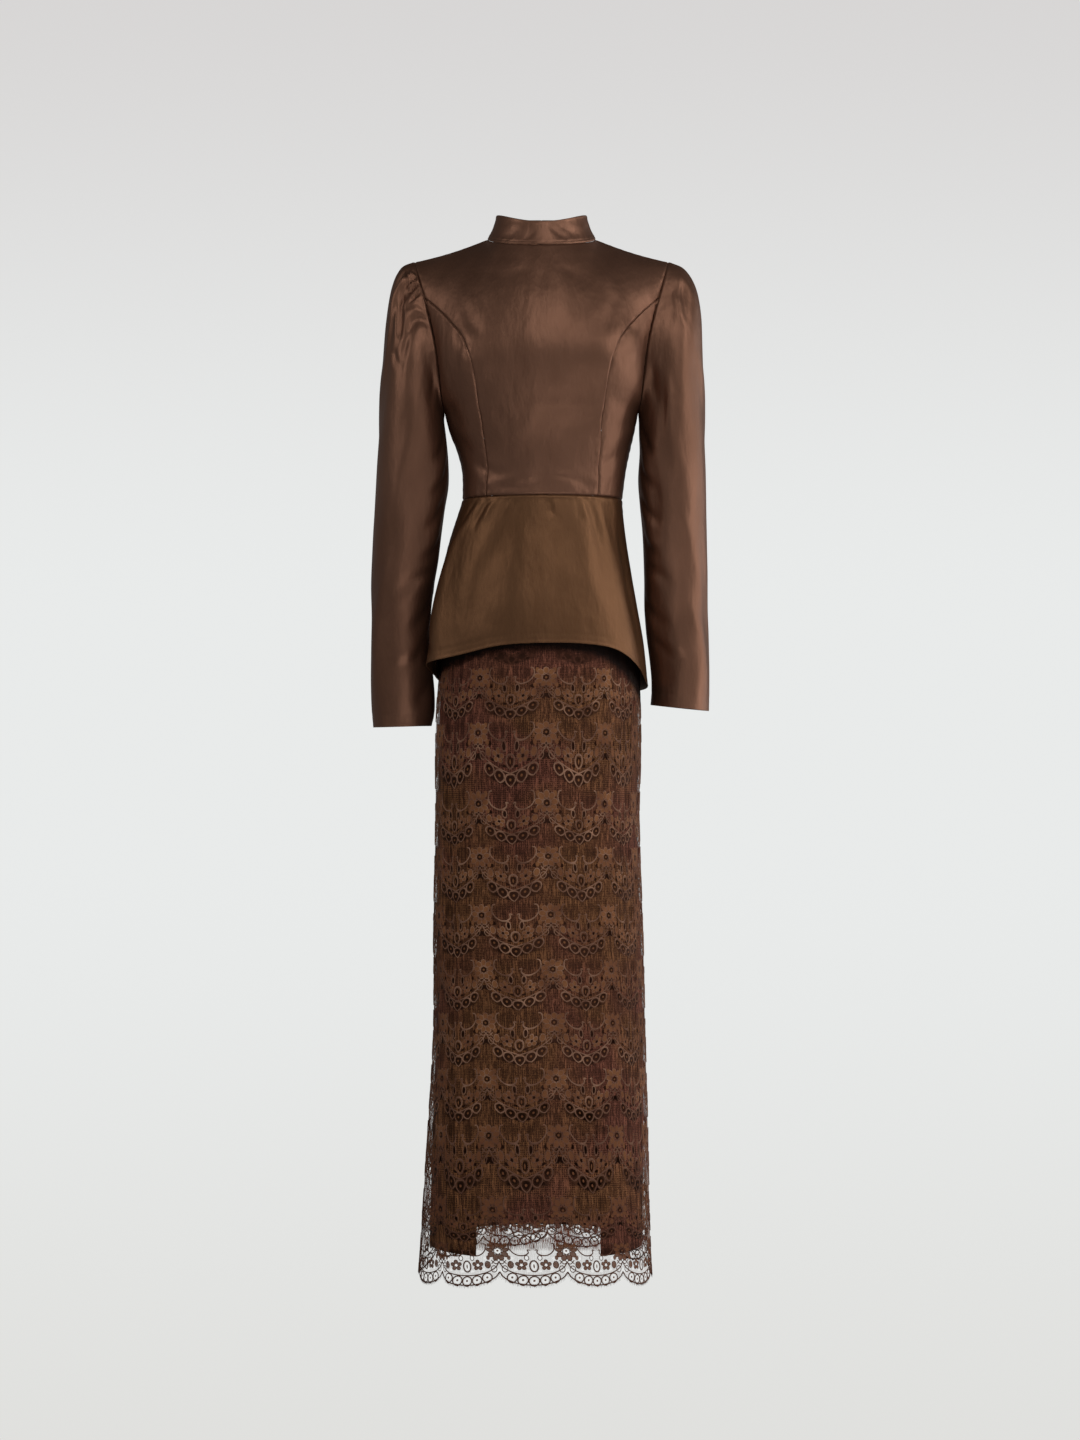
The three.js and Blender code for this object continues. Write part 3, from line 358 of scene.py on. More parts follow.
def set_stage():
    """The sweep: floor, a round bend and an upright back, drawn along a profile and extruded sideways."""
    floor_z, front_y, back_y, bend, reach, top = -1.66, -4.5, 3.9, 1.2, 7.0, 3.4
    turn = np.linspace(0, np.pi / 2, 25)
    y = np.concatenate([[front_y], back_y - bend + bend * np.sin(turn), [back_y]])
    z = np.concatenate([[floor_z], floor_z + bend - bend * np.cos(turn), [top]])
    x = np.array([-reach, reach])
    grid = np.stack(np.broadcast_arrays(x[None, :], y[:, None], z[:, None]), -1)
    mesh = mesh_of("background", grid.reshape(-1, 3), quads_of(grid.shape[0], 2), metres=True)
    sweep = link("background", mesh)
    sweep.data.materials.append(background_material())
    sweep.visible_diffuse = sweep.visible_glossy = False


def add_light(name, place, aim, wide, tall, power, colour):
    """A rectangular lamp at a place, turned to face the aim."""
    lamp = bpy.data.lights.new(name, "AREA")
    lamp.shape = "RECTANGLE"
    lamp.size, lamp.size_y = wide, tall
    lamp.energy = power
    lamp.color = colour
    light = bpy.data.objects.new(name, lamp)
    light.location = place
    light.rotation_euler = (Vector(aim) - Vector(place)).to_track_quat("-Z", "Y").to_euler()
    bpy.context.scene.collection.objects.link(light)


# The studio's lamps, as name, place, width, height and power; all face the middle of the garment.
LAMPS = (
    ("right box", (2.8, -0.4, -0.5), 1.4, 1.8, 18),
    ("high right box", (2.25, -1.3, 1.0), 0.9, 1.2, 15),
    ("back right box", (2.2, 1.0, -0.4), 1.2, 2.0, 10),
    ("high left box", (-2.25, -1.3, 1.0), 0.9, 1.2, 10),
    ("low front box", (0.5, -2.2, -1.5), 2.4, 0.6, 10),
    ("high front box", (0.3, -2.3, 1.4), 1.2, 1.2, 14),
)
LAMP_COLOUR = (1, 0.985, 0.97)
MIDDLE = (0, 0, -0.5)


def set_lights():
    """The lamps, and a sky that darkens overhead; the sky itself is seen as pale as the room."""
    for name, place, wide, tall, power in LAMPS:
        add_light(name, place, MIDDLE, wide, tall, power, LAMP_COLOUR)
    sky = Graph("world", bpy.data.worlds)
    height = sky.node("ShaderNodeSeparateXYZ", None, {0: sky.place("Generated")}).out(2)
    darker = {"Value": height, "From Min": 0.1, "From Max": 0.75, "To Min": 0.21, "To Max": 0.04}
    strength = sky.node("ShaderNodeMapRange", None, darker).out(0)
    shade = sky.node("ShaderNodeBackground", None, {"Strength": strength}).out(0)
    pale = sky.node("ShaderNodeBackground", None, {"Color": (0.75, 0.75, 0.735, 1)}).out(0)
    seen = sky.node("ShaderNodeLightPath").out("Is Camera Ray")
    either = sky.node("ShaderNodeMixShader", None, {0: seen, 1: shade, 2: pale}).out(0)
    sky.node("ShaderNodeOutputWorld", None, {"Surface": either})
    bpy.context.scene.world = sky.owner


# ---- Grids and meshes -----------------------------------------------------------------------------------------


def mesh_of(name, places, faces, uv=None, metres=False):
    """A mesh from corner places, faces as an array of equal-length rows, and a map place for each corner."""
    mesh = bpy.data.meshes.new(name)
    places = np.asarray(places, np.float32) * (1.0 if metres else MM)
    faces = np.asarray(faces, np.int32)
    sides = faces.shape[1]
    mesh.vertices.add(len(places))
    mesh.vertices.foreach_set("co", places.ravel())
    mesh.loops.add(faces.size)
    mesh.loops.foreach_set("vertex_index", faces.ravel())
    mesh.polygons.add(len(faces))
    mesh.polygons.foreach_set("loop_start", np.arange(0, faces.size, sides, dtype=np.int32))
    mesh.polygons.foreach_set("loop_total", np.full(len(faces), sides, np.int32))
    mesh.polygons.foreach_set("use_smooth", np.ones(len(faces), bool))
    if uv is not None:
        layer = mesh.uv_layers.new(name="cloth")
        layer.data.foreach_set("uv", np.asarray(uv, np.float32)[faces.ravel()].ravel())
    mesh.update(calc_edges=True)
    mesh.validate()
    return mesh


def quads_of(rows, columns, ring=False):
    """The faces of a grid, row by row; a ring joins its last column to its first."""
    i = np.arange(rows - 1)[:, None]
    j = np.arange(columns if ring else columns - 1)[None, :]
    after = (j + 1) % columns
    corners = (i * columns + j, (i + 1) * columns + j, (i + 1) * columns + after, i * columns + after)
    return np.stack([c.ravel() for c in np.broadcast_arrays(*corners)], -1)


def unit(way):
    """The way at length 1."""
    return way / np.maximum(np.linalg.norm(way, axis=-1, keepdims=True), 1e-9)


def facings(grid, ring=False):
    """The unit normals of a grid: down its columns crossed with along its rows."""
    down = np.gradient(grid, axis=0)
    if ring:
        along = np.roll(grid, -1, 1) - np.roll(grid, 1, 1)
    else:
        along = np.gradient(grid, axis=1)
    return unit(np.cross(down, along))


def outward(grid, ring=False):
    """The grid's normals, turned away from its middle line."""
    normal = facings(grid, ring)
    middle = grid.mean(1, keepdims=True) if ring else grid * (0, 0, 1)
    return normal if np.sum(normal * (grid - middle) * (1, 1, 0)) > 0 else -normal


def raised(grid, height, ring=False):
    """The grid with each place moved along its outward normal by its height."""
    return grid + outward(grid, ring) * height[..., None]


def spans(grid, axis):
    """The distance along the cloth from the grid's first line, by arc length."""
    steps = np.linalg.norm(np.diff(grid, axis=axis), axis=-1)
    start = np.zeros_like(np.take(steps, [0], axis=axis))
    return np.cumsum(np.concatenate([start, steps], axis=axis), axis=axis)


def wall_arrays(grid, thick, ring=False):
    """Corner places and faces of a closed wall: the outer grid, the same grid moved in by thick with its faces
    turned over, and a strip along each free edge."""
    if np.sum(facings(grid, ring) * outward(grid, ring)) < 0:
        grid = grid[:, ::-1]
    rows, columns = grid.shape[:2]
    inner = grid - facings(grid, ring) * thick
    count = rows * columns
    outer_faces = quads_of(rows, columns, ring)
    faces = [outer_faces, outer_faces[:, ::-1] + count]
    index = np.arange(count).reshape(rows, columns)
    edges = [(index[0], True), (index[-1], False)]
    if not ring:
        edges += [(index[:, 0], False), (index[:, -1], True)]
    for line, flip in edges:
        a = line
        b = np.roll(line, -1) if ring else line[1:]
        a = a if ring else line[:-1]
        strip = np.stack([a, b, b + count, a + count], -1)
        faces.append(strip if not flip else strip[:, ::-1])
    return np.concatenate([grid.reshape(-1, 3), inner.reshape(-1, 3)]), np.concatenate(faces)


def cloth_area(grid, ring=False):
    """The area of a grid in square metres, from the sides of its cells."""
    q = quads_of(*grid.shape[:2], ring)
    p = grid.reshape(-1, 3)
    across = np.cross(p[q[:, 2]] - p[q[:, 0]], p[q[:, 3]] - p[q[:, 1]])
    return float(np.linalg.norm(across, axis=-1).sum() / 2) * MM * MM


CUTS = {}  # each cloth piece's flat width, length and area, for its cut


def measured(name, grid, ring=False):
    """Notes the flat size of a piece: its longest row, its longest column and its area."""
    rows = grid if not ring else np.concatenate([grid, grid[:, :1]], 1)
    width = float(spans(rows, 1)[:, -1].max()) * MM
    length = float(spans(grid, 0)[-1].max()) * MM
    CUTS[name] = (width, length, cloth_area(grid, ring))


def cloth_piece(name, parts, node, material, ring=False):
    """One cloth piece from one or more (outer grid, thickness) walls."""
    places, faces, start = [], [], 0
    for grid, thick in parts:
        p, f = wall_arrays(grid, thick, ring)
        places.append(p)
        faces.append(f + start)
        start += len(p)
    mesh = mesh_of(name, np.concatenate(places), np.concatenate(faces))
    mesh.set_sharp_from_angle(angle=np.radians(60))
    made = link(name, mesh)
    finish_piece(made, node, material)
    return made


def finish_piece(made, node, material):
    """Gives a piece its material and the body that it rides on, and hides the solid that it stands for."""
    made.data.materials.append(material)
    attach(made, "garment")
    if node:
        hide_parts(node)


# ---- Tables and smooth steps ----------------------------------------------------------------------------------


def table(names, *rows):
    """A table's columns by name, from rows of numbers."""
    return dict(zip(names.split(), np.array(rows, float).T))


def read(rows, key, column, place):
    """The column at a place along the key: a cubic through the rows, whose slope at each row is that of the line
    between the rows on both sides of it. The place is kept within the table."""
    keys, values = rows[key], rows[column]
    if keys[0] > keys[-1]:
        keys, values = keys[::-1], values[::-1]
    at = np.clip(place, keys[0], keys[-1])
    k = np.clip(np.searchsorted(keys, at) - 1, 0, len(keys) - 2)
    low = np.maximum(np.arange(len(keys)) - 1, 0)
    high = np.minimum(np.arange(len(keys)) + 1, len(keys) - 1)
    slope = (values[high] - values[low]) / (keys[high] - keys[low])
    span = keys[k + 1] - keys[k]
    t = (at - keys[k]) / span
    rise = slope[k] * span * t * (1 - t) ** 2 - slope[k + 1] * span * t * t * (1 - t)
    return blend(values[k], values[k + 1], t * t * (3 - 2 * t)) + rise


def blend(a, b, share):
    """a where share is 0, b where it is 1, and a straight line between."""
    return a + (b - a) * share


def bell(distance):
    """1 at nought, falling to both sides as e to the minus distance squared."""
    return np.exp(-distance * distance)


def smooth(value, low, high):
    """0 at low and 1 at high, with level ends."""
    t = np.clip((value - low) / (high - low), 0, 1)
    return t * t * (3 - 2 * t)


def stack(x, y, z):
    """Places from three arrays of numbers, or from arrays that spread to one shape."""
    return np.stack(np.broadcast_arrays(x, y, z), -1)


def eased(count, ends=0.6):
    """Places from 0 to 1 that lie closer together near both ends."""
    u = np.linspace(0, 1, count)
    return u - ends * np.sin(2 * np.pi * u) / (2 * np.pi)


def folds(u, v, rows):
    """Soft folds in the cloth. Each row is a line from (u0, v0) to (u1, v1) that bows sideways by bow at its
    middle; the cloth rises by high at the line, over the width wide, with half as much the other way on the side
    that lean gives, and fades at the line's ends."""
    total = np.zeros(np.broadcast(u, v).shape)
    for u0, v0, u1, v1, wide, high, bow, lean in rows:
        du, dv = u1 - u0, v1 - v0
        length = np.hypot(du, dv)
        along = ((u - u0) * du + (v - v0) * dv) / length**2
        off = ((u - u0) * dv - (v - v0) * du) / length - bow * np.sin(np.pi * np.clip(along, 0, 1))
        fade = smooth(along, -0.12, 0.25) * smooth(along, 1.12, 0.6)
        wide_here = wide * (0.75 + 0.5 * np.clip(along, 0, 1))
        shape = bell(off / wide_here) - 0.45 * bell((off - lean * 1.7 * wide_here) / (1.2 * wide_here))
        total += high * fade * shape
    return total


def drift(u, v, scale, seed):
    """A slow unevenness from -1 to 1: a sum of sines along turned directions, with phases from the seed."""
    turns = np.array([0.3, 1.1, 1.9, 2.6, 0.8])
    speeds = np.array([1.0, 1.37, 0.71, 1.83, 2.3])
    phases = seed * np.array([1.7, 2.9, 0.6, 4.1, 3.3])
    weights = np.array([1.0, 0.7, 1.0, 0.4, 0.3])
    total = sum(
        w * np.sin((u * np.cos(a) + v * np.sin(a)) * s / scale + p)
        for a, s, p, w in zip(turns, speeds, phases, weights)
    )
    return total / weights.sum()


SEAM_DIP = 1.0  # depth of the groove along a seam
SEAM_WIDTH = 1.2
PUCKER = 0.3


def sewn(grid, sides, seed=1.0, pucker=1.0):
    """The cloth pulled in along its sewn sides (any of left, right, top and low), with small uneven puckers
    across each seam that fade within some millimetres."""
    across, down = spans(grid, 1), spans(grid, 0)
    distance = {
        "left": (across, down),
        "right": (across[:, -1:] - across, down),
        "top": (down, across),
        "low": (down[-1:] - down, across),
    }
    total = np.zeros(grid.shape[:2])
    for n, side in enumerate(sides):
        away, along = distance[side]
        wave = np.sin(along / 2.1 + 2.4 * drift(along, away, 16, seed + n))
        wave = wave * (0.55 + 0.45 * drift(along, 0 * away, 23, seed + 2.3 * n))
        total -= SEAM_DIP * bell(away / SEAM_WIDTH)
        total += 0.1 * bell((away - 4) / 2.6)
        total += PUCKER * pucker * wave * bell((away - 3.2) / 3.4)
    return total


# ---- The tunic's body -----------------------------------------------------------------------------------------

SATIN, COLLAR_WALL, LINING_WALL, BAND_WALL, SEAM = 1.2, 2.0, 1.0, 3.0, 0.3
WAIST_Z, UNDERARM_Z, SQUARENESS = -345.0, -231.0, 0.85

TRUNK = table(
    "z right left front back",
    (WAIST_Z, 104.5, 107, 85, 79), (-307, 105.5, 112, 87, 80), (-278, 113, 118, 90, 83),
    (-258, 121, 122.5, 94, 86), (UNDERARM_Z, 128, 128, 101, 89),
)
CENTRE = table(
    "up front back",
    (0, 101, 89), (0.2, 109, 92), (0.35, 111, 93), (0.5, 107, 91), (0.65, 98, 86), (0.8, 84, 77),
    (0.92, 71, 67), (1, 62, 58),
)
ARMHOLE = table(
    "up x z front back",
    (0, 128, UNDERARM_Z, 0, 0), (0.08, 129, -226, 20, 22), (0.2, 131.5, -208, 35, 38),
    (0.35, 134.5, -178, 43, 46), (0.5, 139.5, -142, 45, 49), (0.65, 148, -104, 41, 46),
    (0.78, 157.5, -70, 32, 38), (0.9, 165, -42, 17, 21), (1, 168.5, -28, 0, 0),
)
NECK_HALF_WIDTH, NECK_SIDE_Z, NECK_SHARE, SHOULDER_HOLLOW = 72.5, 2.0, 0.5, 2.5
NECK_DEPTH = {"front": 62.0, "back": 58.0}
NECK_Z = {"front": -17.0, "back": 6.0}
PRINCESS = {
    "front": table(
        "level share",
        (0, 0.49), (0.54, 0.46), (0.87, 0.435), (1.14, 0.455), (1.25, 0.475), (1.33, 0.505), (1.46, 0.6),
        (1.6, 0.79), (1.73, 1),
    ),
    "back": table(
        "level share",
        (0, 0.45), (0.54, 0.44), (1, 0.465), (1.2, 0.52), (1.33, 0.61), (1.46, 0.77), (1.6, 1),
    ),
}
PANEL_ROWS, FRONT_COLUMNS, BACK_COLUMNS, SIDE_ROWS, SIDE_COLUMNS = 170, 110, 60, 140, 44
BLUNT_END = {"front": 1.715, "back": 1.585}
ARMHOLE_HOLD = 3.0
NECK_BEND = 0.3  # how far to both sides, as a share, the top edge's bend at the neck is softened inside the panel
BEND_STEPS = np.linspace(-1, 1, 9)
HALF_SEAM_SHARE = 0.0012  # half a seam's gap, as a share of the way round
BUST_X, BUST_Z, BUST_RADIUS, BUST_HEIGHT = 84.0, -168.0, 44.0, 6.0
SIGN = {"right": -1, "left": 1}


def sided(rows, key, place, sign):
    """A table's right column on the right side and its left column on the left."""
    return np.where(sign < 0, read(rows, key, "right", place), read(rows, key, "left", place))


def trunk_section(sign, half, share, z):
    """A quarter of a level section of the trunk: a squared ellipse from the centre (0) to the side (1)."""
    turn = share * np.pi / 2
    way = -1 if half == "front" else 1
    depth = read(TRUNK, "z", half, z) * np.maximum(np.cos(turn), 0) ** SQUARENESS
    return stack(sign * sided(TRUNK, "z", z, sign) * np.sin(turn), way * depth, z)


def top_edge(sign, half, share):
    """The neckline, a quarter of an ellipse that climbs to the shoulder, then the shoulder seam to its tip."""
    way = -1 if half == "front" else 1
    turn = np.clip(share / NECK_SHARE, 0, 1) * np.pi / 2
    neck = stack(
        sign * NECK_HALF_WIDTH * np.sin(turn),
        way * NECK_DEPTH[half] * np.cos(turn),
        blend(NECK_Z[half], NECK_SIDE_Z, 1 - np.cos(turn)),
    )
    along = np.clip((share - NECK_SHARE) / (1 - NECK_SHARE), 0, 1)
    shoulder = stack(
        sign * blend(NECK_HALF_WIDTH, ARMHOLE["x"][-1], along),
        way * SEAM / 2,
        blend(NECK_SIDE_Z, ARMHOLE["z"][-1], along) - SHOULDER_HOLLOW * np.sin(np.pi * along),
    )
    return np.where((share <= NECK_SHARE)[..., None], neck, shoulder)


def soft_top(sign, half, share, reach):
    """The top edge's mean over shares up to reach to both sides, which rounds its bend at the neck. Past the centre
    the edge goes on mirrored, and past the tip it goes on as its own turned image."""
    total = 0
    for step in BEND_STEPS:
        at = share + step * reach
        place = top_edge(sign, half, 1 - np.abs(1 - np.abs(at)))
        place = place * stack(np.where(at < 0, -1, 1), 1, 1)
        total = total + np.where((at > 1)[..., None], 2 * top_edge(sign, half, np.ones(at.shape)) - place, place)
    return total / len(BEND_STEPS)


def quarter(sign, half, share, level):
    """A place on the trunk. Up to level 1 it is the section at that height. Above, the underarm section and the
    top edge are blended, and what the blend misses of the centre line and of the armhole edge is added back; near
    the underarm the share for the armhole edge is raised to a power, which keeps its bend close to it."""
    sign, share, level = np.broadcast_arrays(sign, share, level)
    way = -1 if half == "front" else 1
    up = np.clip(level - 1, 0, 1)
    low = trunk_section(sign, half, share, blend(WAIST_Z, UNDERARM_Z, np.clip(level, 0, 1)))

    def level_edge(s):
        floor = trunk_section(sign, half, s, np.full(sign.shape, UNDERARM_Z))
        return blend(floor, soft_top(sign, half, s, NECK_BEND * (1 - up**6)), (up * up)[..., None])

    centre = stack(0 * up, way * read(CENTRE, "up", half, up), blend(UNDERARM_Z, NECK_Z[half], up))
    edge = armhole_edge(sign, half, up)
    nought, one = np.zeros(sign.shape), np.ones(sign.shape)
    high = level_edge(share)
    near_edge = (share ** (1 + ARMHOLE_HOLD * (1 - up) ** 3))[..., None]
    high = high + (centre - level_edge(nought)) * (1 - near_edge)
    high = high + (edge - level_edge(one)) * near_edge
    return np.where((level <= 1)[..., None], low, high)


def armhole_edge(sign, half, up):
    """The armhole's edge, from the underarm (0) to the shoulder's tip (1)."""
    way = -1 if half == "front" else 1
    return stack(
        sign * read(ARMHOLE, "up", "x", up), way * read(ARMHOLE, "up", half, up), read(ARMHOLE, "up", "z", up)
    )


def trunk_grid(sign, half, share, level):
    """The trunk with the bust's fullness, a bell on the front that fades towards the side."""
    grid = quarter(sign, half, share, level)
    if half == "back":
        return grid
    aside = (np.abs(grid[..., 0]) - BUST_X) / BUST_RADIUS
    above = (grid[..., 2] - BUST_Z) / BUST_RADIUS
    full = BUST_HEIGHT * bell(np.hypot(aside, above)) * smooth(1 - share, 0, 0.12)
    return raised(grid, full)


# Folds of the body's front, as lines in the front view: x and z of both ends, width, height, bow and lean.
FRONT_FOLDS = (
    (-100, -92, -70, -150, 9, -1.3, 6, 1), (-112, -128, -92, -168, 7, -1.2, 3, -1),
    (96, -84, 72, -140, 10, -1.2, -6, -1), (118, -120, 98, -160, 7, -1.0, -3, 1),
    (-62, -232, -30, -262, 11, -1.0, 5, 1), (66, -236, 30, -268, 12, -1.0, -5, -1),
    (-88, -300, -40, -322, 8, -1.3, 4, 1), (-60, -334, 8, -328, 7, -1.1, 3, -1),
    (94, -296, 48, -318, 9, -1.3, -4, -1), (16, -318, 70, -336, 7, -1.0, -3, 1),
    (-20, -52, -52, -76, 10, -0.8, 4, 1), (26, -50, 58, -78, 10, -0.8, -4, -1),
    (-120, -222, -100, -262, 7, -1.9, 4, 1), (-118, -250, -92, -292, 8, -1.7, 3, -1),
    (124, -214, 108, -262, 7, -1.9, -4, -1), (118, -262, 96, -300, 8, -1.6, -3, 1),
    (-101, -152, -99, -204, 8, 1.6, 0, 1), (122, -130, 118, -182, 9, 1.7, 0, -1),
    (-6, -120, -14, -250, 22, 0.9, 5, 1),
)
BACK_FOLDS = (
    (-96, -96, -70, -158, 10, -1.3, 6, 1), (98, -90, 74, -150, 10, -1.3, -6, -1),
    (-112, -206, -84, -262, 8, -1.7, 4, 1), (112, -206, 88, -268, 8, -1.7, -4, -1),
    (-84, -294, -34, -318, 9, -1.3, 4, 1), (88, -298, 38, -322, 9, -1.3, -4, -1),
    (-60, -334, -14, -328, 7, -1.0, 3, -1), (12, -316, 62, -334, 7, -1.0, -3, 1),
    (-30, -40, -66, -66, 10, -0.9, 4, 1), (34, -42, 70, -68, 10, -0.9, -4, -1),
    (-54, -190, -40, -290, 14, 0.9, 5, 1), (56, -180, 42, -284, 14, 0.9, -5, -1),
)


def body_relief(grid, half, seed):
    """The half's folds, and a slow and a quicker unevenness."""
    x, z = grid[..., 0], grid[..., 2]
    rows = FRONT_FOLDS if half == "front" else BACK_FOLDS
    return folds(x, z, rows) + 0.35 * drift(x, z, 26, seed) + 0.14 * drift(x, z, 9, seed + 1)


def panel(name, node, grid, relief, sides, seed):
    """A satin panel: its grid raised by its folds, then drawn in along its sewn sides."""
    measured(name, grid)
    grid = raised(grid, relief)
    return cloth_piece(name, [(raised(grid, sewn(grid, sides, seed)), SATIN)], node, SATIN_CLOTH)


def centre_share(half, level):
    """The outer edge of the panel next to the centre: the princess seam, then the armhole edge."""
    seam = read(PRINCESS[half], "level", "share", level)
    return np.where(level >= PRINCESS[half]["level"][-1], 1.0, np.minimum(seam - HALF_SEAM_SHARE, 1))


def make_body():
    """The seven panels. Each is a grid over the trunk's level, from the waist (0) to the shoulder (2), and a share
    of the way from the centre to the side, which ends at the princess seam."""
    level = (2 * eased(PANEL_ROWS, 0.45))[:, None]
    place = (2 * eased(FRONT_COLUMNS) - 1)[None, :]
    sign = np.where(place < 0, -1, 1)
    share = np.abs(place) * centre_share("front", level)
    grid = trunk_grid(sign + 0 * level, "front", share, level + 0 * place)
    relief = body_relief(grid, "front", 0.4) * (1 - smooth(level, 1.9, 2.0))
    made = {"front": panel("front_panel", "bodice_front", grid, relief, ("left", "right", "top", "low"), 0.7)}
    for n, (side, way) in enumerate(SIGN.items()):
        place = eased(BACK_COLUMNS)[None, :]
        share = place * centre_share("back", level)
        grid = trunk_grid(way + 0 * share, "back", share, level + 0 * place)
        grid = grid + np.where(place == 0, (way * SEAM / 2), 0.0)[..., None] * np.array((1, 0, 0))
        relief = body_relief(grid, "back", 1.4) * (1 - smooth(level, 1.9, 2.0))
        name = f"{side}_back_panel"
        sides = ("left", "right", "top", "low")
        made[name] = panel(name, f"bodice_back_{side}", grid, relief, sides, 1.9 + n)
        for half in ("front", "back"):
            side_level = (BLUNT_END[half] * eased(SIDE_ROWS, 0.45))[:, None]
            place = eased(SIDE_COLUMNS)[None, :]
            inner = read(PRINCESS[half], "level", "share", side_level) + HALF_SEAM_SHARE
            share = blend(inner, 1.0, place)
            grid = trunk_grid(way + 0 * share, half, share, side_level + 0 * place)
            gap = np.where((place == 1) & (side_level <= 1), SEAM / 2, 0.0) * (-1 if half == "front" else 1)
            grid = grid + gap[..., None] * np.array((0, 1, 0))
            name = f"{side}_side_{half}_panel"
            relief = body_relief(grid, half, 2.6 + n) * smooth(1 - place, 0, 0.1)
            sides = ("left", "right", "top")
            made[name] = panel(name, f"bodice_side_{half}_{side}", grid, relief, sides, 3.1 + n)
    return made


# ---- Collar ---------------------------------------------------------------------------------------------------

COLLAR = table(
    "up half_width front back", (0, 72.5, 62, 58), (0.35, 66.5, 58.5, 55), (0.7, 62.5, 55.5, 52.5), (1, 60, 53, 50)
)
COLLAR_TOP = {"side": 32.0, "front": 15.0, "back": 38.0}
COLLAR_GAP = 0.5
COLLAR_ROWS, COLLAR_COLUMNS = 36, 260
COLLAR_FOLDS = (
    (12, 8, 36, -8, 4.5, -0.9, 2, 1), (24, 12, 50, -2, 5, -0.8, 2, -1), (-30, 8, -50, -6, 6, -0.6, -2, 1),
    (-8, 4, -26, -12, 5, -0.5, -2, -1), (60, 18, 66, -2, 5, -0.7, 1, 1),
)


def on_collar(up, turn):
    """The stand collar: an ellipse that narrows upwards, between a base and a top edge that both dip in front."""
    front = np.cos(turn) >= 0
    away = np.abs(np.cos(turn))
    base_centre = np.where(front, NECK_Z["front"], NECK_Z["back"])
    base = blend(base_centre, NECK_SIDE_Z, 1 - away) + SEAM
    top = blend(COLLAR_TOP["side"], np.where(front, COLLAR_TOP["front"], COLLAR_TOP["back"]), away**2)
    depth = np.where(front, read(COLLAR, "up", "front", up), read(COLLAR, "up", "back", up))
    return stack(
        read(COLLAR, "up", "half_width", up) * np.sin(turn), -depth * np.cos(turn), blend(base, top, up)
    )


def make_collar():
    """Two layers with an interlining: its top edge is rolled over a cord of cloth, its base is stitched."""
    up = eased(COLLAR_ROWS, 0.5)[:, None]
    turn = np.radians(np.linspace(-180, 180, COLLAR_COLUMNS))[None, :]
    grid = on_collar(up, turn + 0 * up)
    grid[:, 0, 0] -= COLLAR_GAP
    grid[:, -1, 0] += COLLAR_GAP
    measured("collar", grid)
    x, z = grid[..., 0], grid[..., 2]
    front = grid[..., 1] < 0
    relief = folds(x, z, COLLAR_FOLDS) * front + 0.25 * drift(x, z, 13, 5.2)
    rise = spans(grid, 0)
    relief = relief + 0.45 * bell((rise[-1:] - rise - 1.2) / 1.6) - 0.4 * bell((rise - 3.4) / 0.9)
    grid = raised(grid, relief)
    grid = raised(grid, sewn(grid, ("top",), 6.1, 0.8))
    return cloth_piece("collar_band", [(grid, COLLAR_WALL)], "collar", SATIN_CLOTH)


# ---- Sleeves --------------------------------------------------------------------------------------------------

SLEEVE_COLUMNS = "ring outX outZ inX inZ depth mid round gather"
SLEEVES = {
    "right": table(
        SLEEVE_COLUMNS,
        (0, 168.5, -28, 128, -231, 50, 0, 0, 0), (1, 186, -38, 129.5, -240, 53, 2, 0.45, 2.6),
        (2, 198, -65, 127, -262, 57, 3, 0.75, 2.2), (3, 206, -110, 124.5, -292, 60, 4, 0.92, 1),
        (4, 211, -165, 124, -325, 61, 4, 1, 0.2), (5, 215, -225, 129, -358, 60, 5, 1, 0),
        (6, 219, -290, 133, -390, 58, 6, 1, 0), (7, 222, -350, 137, -425, 55, 7, 1, 0),
        (8, 225, -410, 143, -460, 52, 9, 1, 0), (9, 227, -460, 147.5, -498, 49, 11, 1, 0),
        (10, 228, -505, 148.5, -533, 47, 12, 1, 0), (11, 229, -547, 146, -566, 45.5, 12, 1, 0),
        (12, 229, -587, 143, -599, 44, 12, 1, 0), (13, 227, -622, 143, -627, 43, 12, 1, 0),
        (14, 224.5, -647, 147, -645, 42.5, 12, 1, 0),
    ),
    "left": table(
        SLEEVE_COLUMNS,
        (0, 168.5, -28, 128, -231, 50, 0, 0, 0), (1, 190, -38, 129.5, -240, 53, 2, 0.45, 0.5),
        (2, 205, -62, 130, -258, 57, 3, 0.75, 0.3), (3, 212, -97, 131, -284, 60, 4, 0.92, 0),
        (4, 214, -150, 129, -318, 61, 4, 1, 0), (5, 216, -210, 131, -350, 60, 5, 1, 0),
        (6, 218, -268, 134, -384, 58, 6, 1, 0), (7, 219.5, -328, 135.5, -420, 55, 7, 1, 0),
        (8, 220, -385, 136.5, -455, 52, 9, 1, 0), (9, 221, -438, 137, -488, 49, 11, 1, 0),
        (10, 221.5, -485, 139.5, -520, 47, 12, 1, 0), (11, 223.5, -527, 143.5, -550, 45.5, 12, 1, 0),
        (12, 225, -565, 146.5, -577, 44, 12, 1, 0), (13, 224.5, -597, 147, -599, 43, 12, 1, 0),
        (14, 223.5, -625, 146, -617, 42.5, 12, 1, 0),
    ),
}
RING_LEVELS = np.array([1, 1.08, 1.14, 1.2, 1.265, 1.33, 1.395, 1.46, 1.53, 1.6, 1.665, 1.73, 1.85, 1.94, 2])
GATHER_REACH = 0.42
SLEEVE_ROWS, SLEEVE_TURNS = 168, 120
GATHERS = 14  # waves round the whole armhole, of which those near the tip stand up
